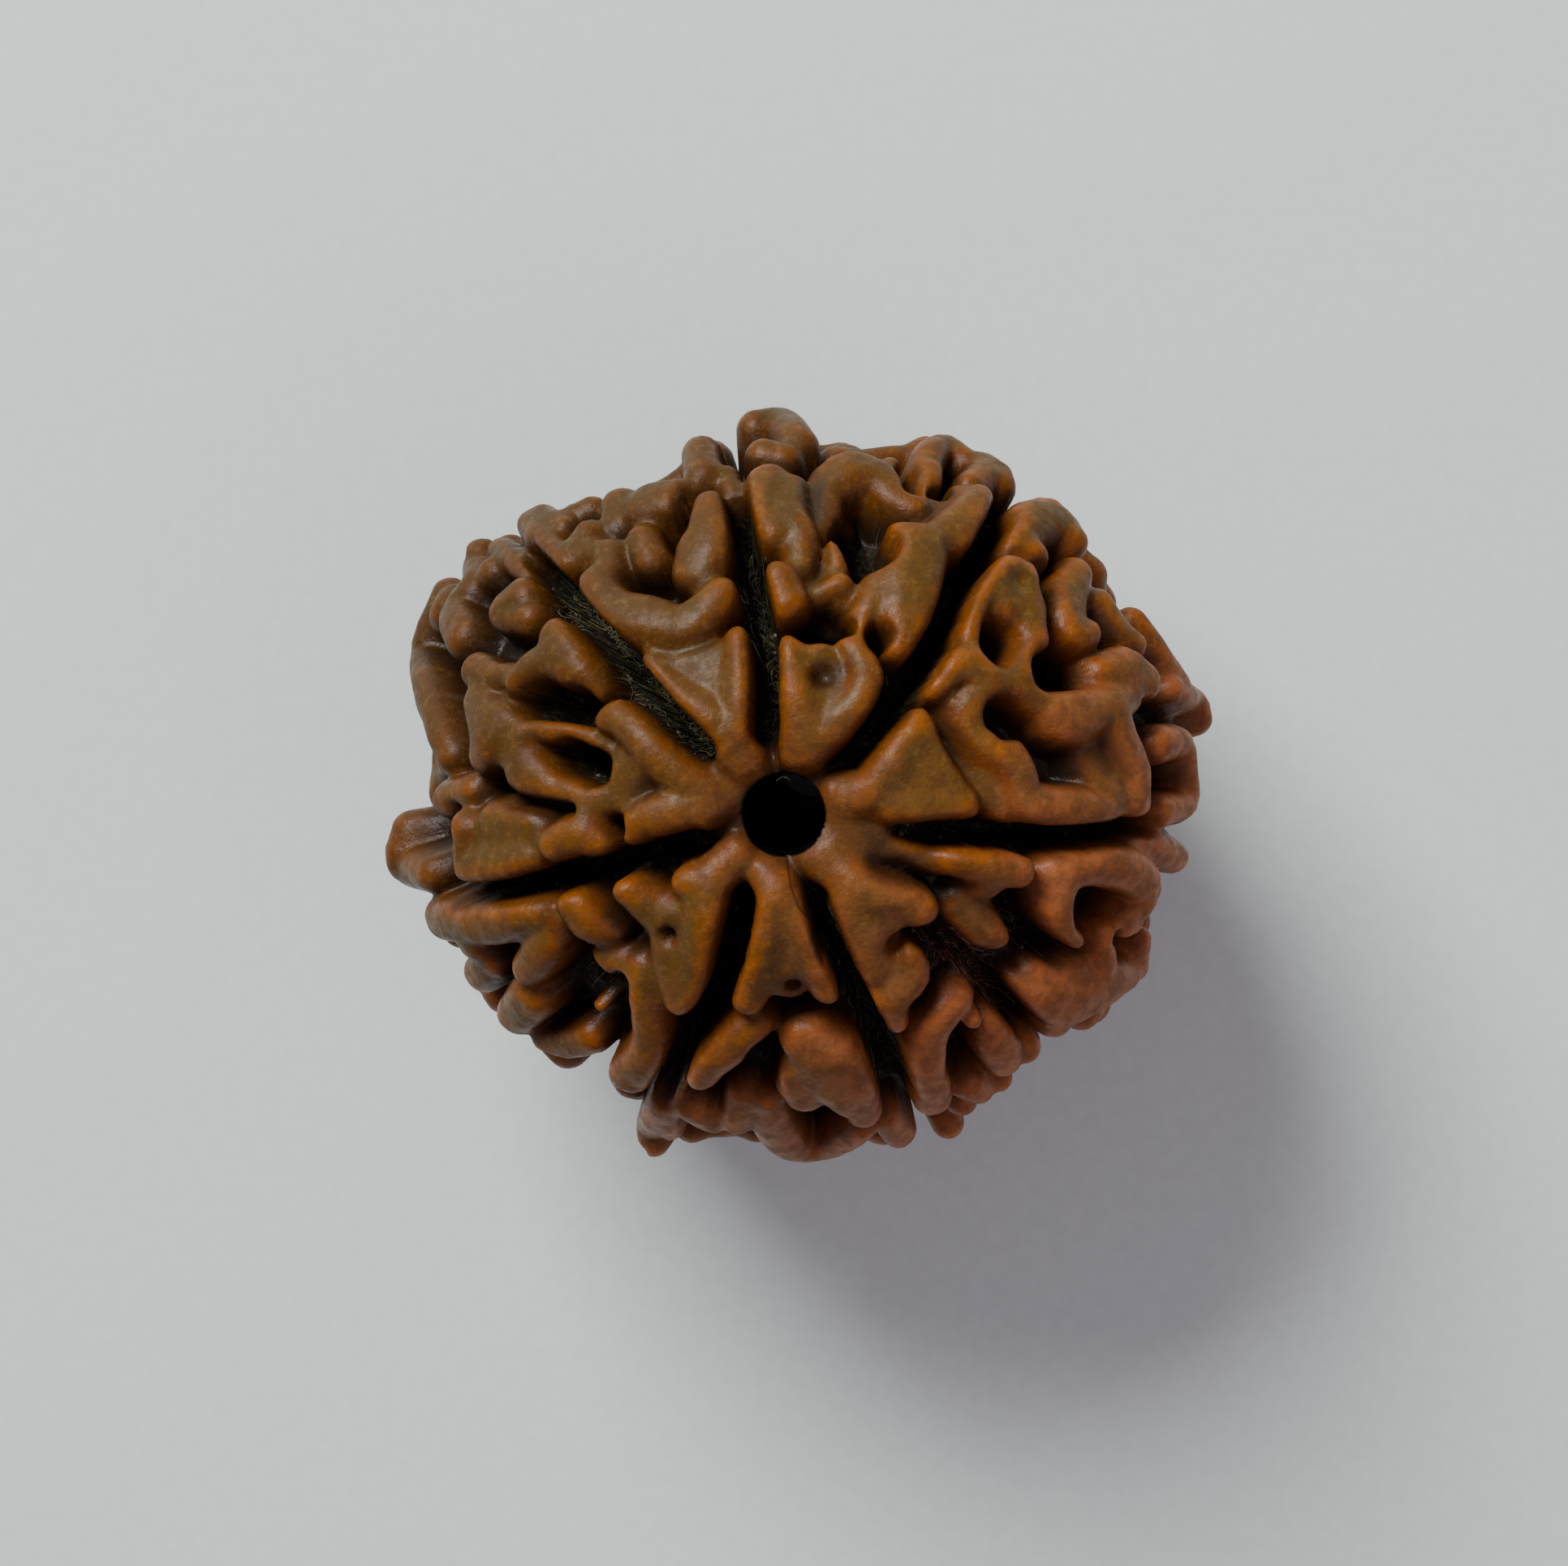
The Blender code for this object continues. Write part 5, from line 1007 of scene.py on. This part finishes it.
def wood_material():
    """Worn, oiled wood: olive-tan tops, orange-brown shoulders and flanks, black crust and painted shade in
    the grooves.
    """
    graph = Graph("rudraksha_wood")
    place = graph.place()
    masks = wood_masks(graph, place)
    top = graph.tones(masks["blotches"], 0.36, 0.64, TOP_TONES)
    flank = graph.tones(masks["blotches"], 0.3, 0.7, FLANK_TONES)
    surface = graph.mix(graph.ramp(masks["facing"], 0.93, 0.66), top, flank)
    for name, low, high, share, tone in WORN_AND_SHADED_LAYERS:
        surface = graph.mix(graph.ramp(masks[name], low, high, 0.0, share), surface, colour(*tone))
    crust_and_shade = crust_and_shade_share(graph, masks)
    # dark crust and painted shade down in the grooves and pits
    surface = graph.mix(crust_and_shade, surface, graph.tones(masks["specks"], 0.42, 0.7, CRUST_AND_SHADE_TONES))
    surface = graph.mix(seam_share(graph, place), surface, colour(*SEAM_TONE))
    # painted shade on the bore's wall
    bore_shade = graph.ramp(masks["from_axis"], *(BORE_RADIUS + edge for edge in BORE_EDGE))
    surface = graph.mix(bore_shade, surface, colour(*BORE_SHADE_TONE))
    normal = {}
    for name, height, strength in BUMPS:
        normal = {"Normal": graph.bump(masks[name], height, strength, normal)}
    return graph.finish({"Base Color": surface, "Roughness": wood_gloss(graph, masks, crust_and_shade),
                         "Specular IOR Level": WOOD_SHINE, **normal})


def segment_distance(graph, flat, start, stop):
    along = (stop - start) * FLAT
    offset = graph.vector("SUBTRACT", flat, start * FLAT)
    share = graph.vector("DOT_PRODUCT", offset, along / (along @ along))
    share = graph.add("ShaderNodeClamp", {"Value": share})
    return graph.vector("DISTANCE", offset, graph.vector("SCALE", along, share))


def seam_share(graph, place):
    flat = graph.vector("MULTIPLY", place, FLAT)
    nearest = 1.0
    for seam in SEAMS:
        points = [crest_at_pixel(*pixel, SEAM_DROP) + CENTRE for pixel in seam]
        for start, stop in zip(points, points[1:]):
            nearest = graph.math("MINIMUM", segment_distance(graph, flat, start, stop), nearest)
    return graph.ramp(nearest, SEAM_HALF, 0.0, 0.0, SEAM_SHARE)


def fibre_material(name):
    graph = Graph(name + "_fibre")
    _, tones = FIBRES[name]
    tint = graph.tones(graph.noise(graph.place(), 0.35, 2.0), 0.35, 0.65, tones)
    return graph.finish({"Base Color": tint, "Roughness": FIBRE_ROUGHNESS})


def turned(direction, axis, angle):
    """A vector turned round an axis at right angles to it."""
    return direction * math.cos(angle) + np.cross(axis, direction) * math.sin(angle)


def fibre_heads(rng, bed, count):
    """The rays of the points of each fibre: it starts anywhere on the bed and bends as it goes."""
    rays, _, halves = bed
    (spread, margin), (first_turn, next_turn) = FIBRE_SPREAD, FIBRE_TURNS
    lines = []
    for _ in range(count):
        t = rng.uniform(0.0, len(rays) - 1.001) if len(rays) > 1 else 0.0
        i, share = int(t), t - int(t)
        after = min(i + 1, len(rays) - 1)
        along = unit(rays[after] - rays[i]) if after > i else unit(np.cross(rays[i], (0.0, 0.3, 1.0)))
        head = unit(rays[i] + share * (rays[after] - rays[i]))
        aside = np.cross(head, along)
        head = unit(head + aside * rng.gauss(0.0, spread) * (halves[i] + margin) / CREST_AXES[0])
        heading = turned(along, head, rng.gauss(0.0, first_turn))
        step = rng.uniform(*FIBRE_LENGTH) / CREST_AXES[0] / (FIBRE_POINTS - 1)
        line = [head]
        for _ in range(FIBRE_POINTS - 1):
            heading = turned(heading, line[-1], rng.gauss(0.0, next_turn))
            line.append(unit(line[-1] + heading * step))
        lines.append(line)
    return lines


def fibre_places(rng, lines):
    """Lays fibres on the surface: each rises off it a little between its ends."""
    rays = np.array(lines)
    radii = surface_radii(rays.reshape(-1, 3)).reshape(rays.shape[:2])
    crests = crest_radius(rays.reshape(-1, 3)).reshape(rays.shape[:2])
    arch = np.sin(np.linspace(0.15, math.pi, FIBRE_POINTS))
    places = []
    for ray, radius, crest in zip(rays, radii, crests):
        buried = crest - radius > FIBRE_COVER
        count = FIBRE_POINTS if buried.all() else int(np.argmin(buried))
        if count < 3:
            continue
        lifted = radius + rng.uniform(*FIBRE_LIFT) * arch
        places.append(scene_places(ray[:count], lifted[:count]))
    return places


def rim_fibre():
    rays = unit(np.array([crest_at_pixel(*pixel, SEAM_DROP) for pixel in RIM_FIBRE]))
    return scene_places(rays, surface_radii(rays) + FIBRE_LIFT[0])


def tubes(name, lines, radii):
    """Many thin four-sided tubes as one mesh."""
    data = bpy.data.curves.new(name, "CURVE")
    data.dimensions = "3D"
    data.bevel_depth = MM
    data.bevel_resolution = 0
    data.use_fill_caps = True
    for line, radius in zip(lines, radii):
        spline = data.splines.new("POLY")
        spline.points.add(len(line) - 1)
        for i, (point, place) in enumerate(zip(spline.points, line)):
            point.co = (*place, 1.0)
            point.radius = radius * (1.0 - FIBRE_TAPER * i / (len(line) - 1))
    draft = linked(name, data)
    mesh = evaluated(draft)
    bpy.data.objects.remove(draft)
    mesh.shade_smooth()
    return mesh


def all_beds():
    named = {**GROOVE_LINES, **PITS}
    beds = [(cut_from_pixels(named[name]), counts) for name, counts in BEDS.items()]
    return beds + [(groove, UNDER_BED) for groove in underside_grooves()]


def make_fibres():
    rng = random.Random(FIBRE_SEED)
    for index, (name, (thickness, _)) in enumerate(FIBRES.items()):
        lines = []
        for bed, counts in all_beds():
            lines += fibre_heads(rng, bed, counts[index])
        places = fibre_places(rng, lines)
        if name == "straw":
            places.append(rim_fibre())
        mesh = tubes(name + "_fibres", places, [rng.uniform(*thickness) for _ in places])
        mesh.materials.append(fibre_material(name))
        place_piece(linked(name + "_fibres", mesh))


def make_crumbs():
    """Crumbs of dried pulp on the floors of the grooves and pits."""
    rng = random.Random(FIBRE_SEED)
    beds = [bed for bed, _ in all_beds()]
    rays = np.array([fibre_heads(rng, rng.choice(beds), 1)[0][0] for _ in range(CRUMBS)])
    radii = surface_radii(rays)
    buried = crest_radius(rays) - radii > FIBRE_COVER
    mesh = bmesh.new()
    for place in scene_places(rays, radii)[buried]:
        made = bmesh.ops.create_icosphere(mesh, subdivisions=1, radius=rng.uniform(*CRUMB_SIZE) * MM)
        for vertex in made["verts"]:
            vertex.co = vertex.co * rng.uniform(*CRUMB_STRETCH) + Vector(place)
    data = mesh_data("groove_crumbs", mesh)
    data.materials.append(fibre_material("umber"))
    place_piece(linked("groove_crumbs", data))


make_camera()
make_floor()
make_lights()
make_bead()
make_fibres()
make_crumbs()
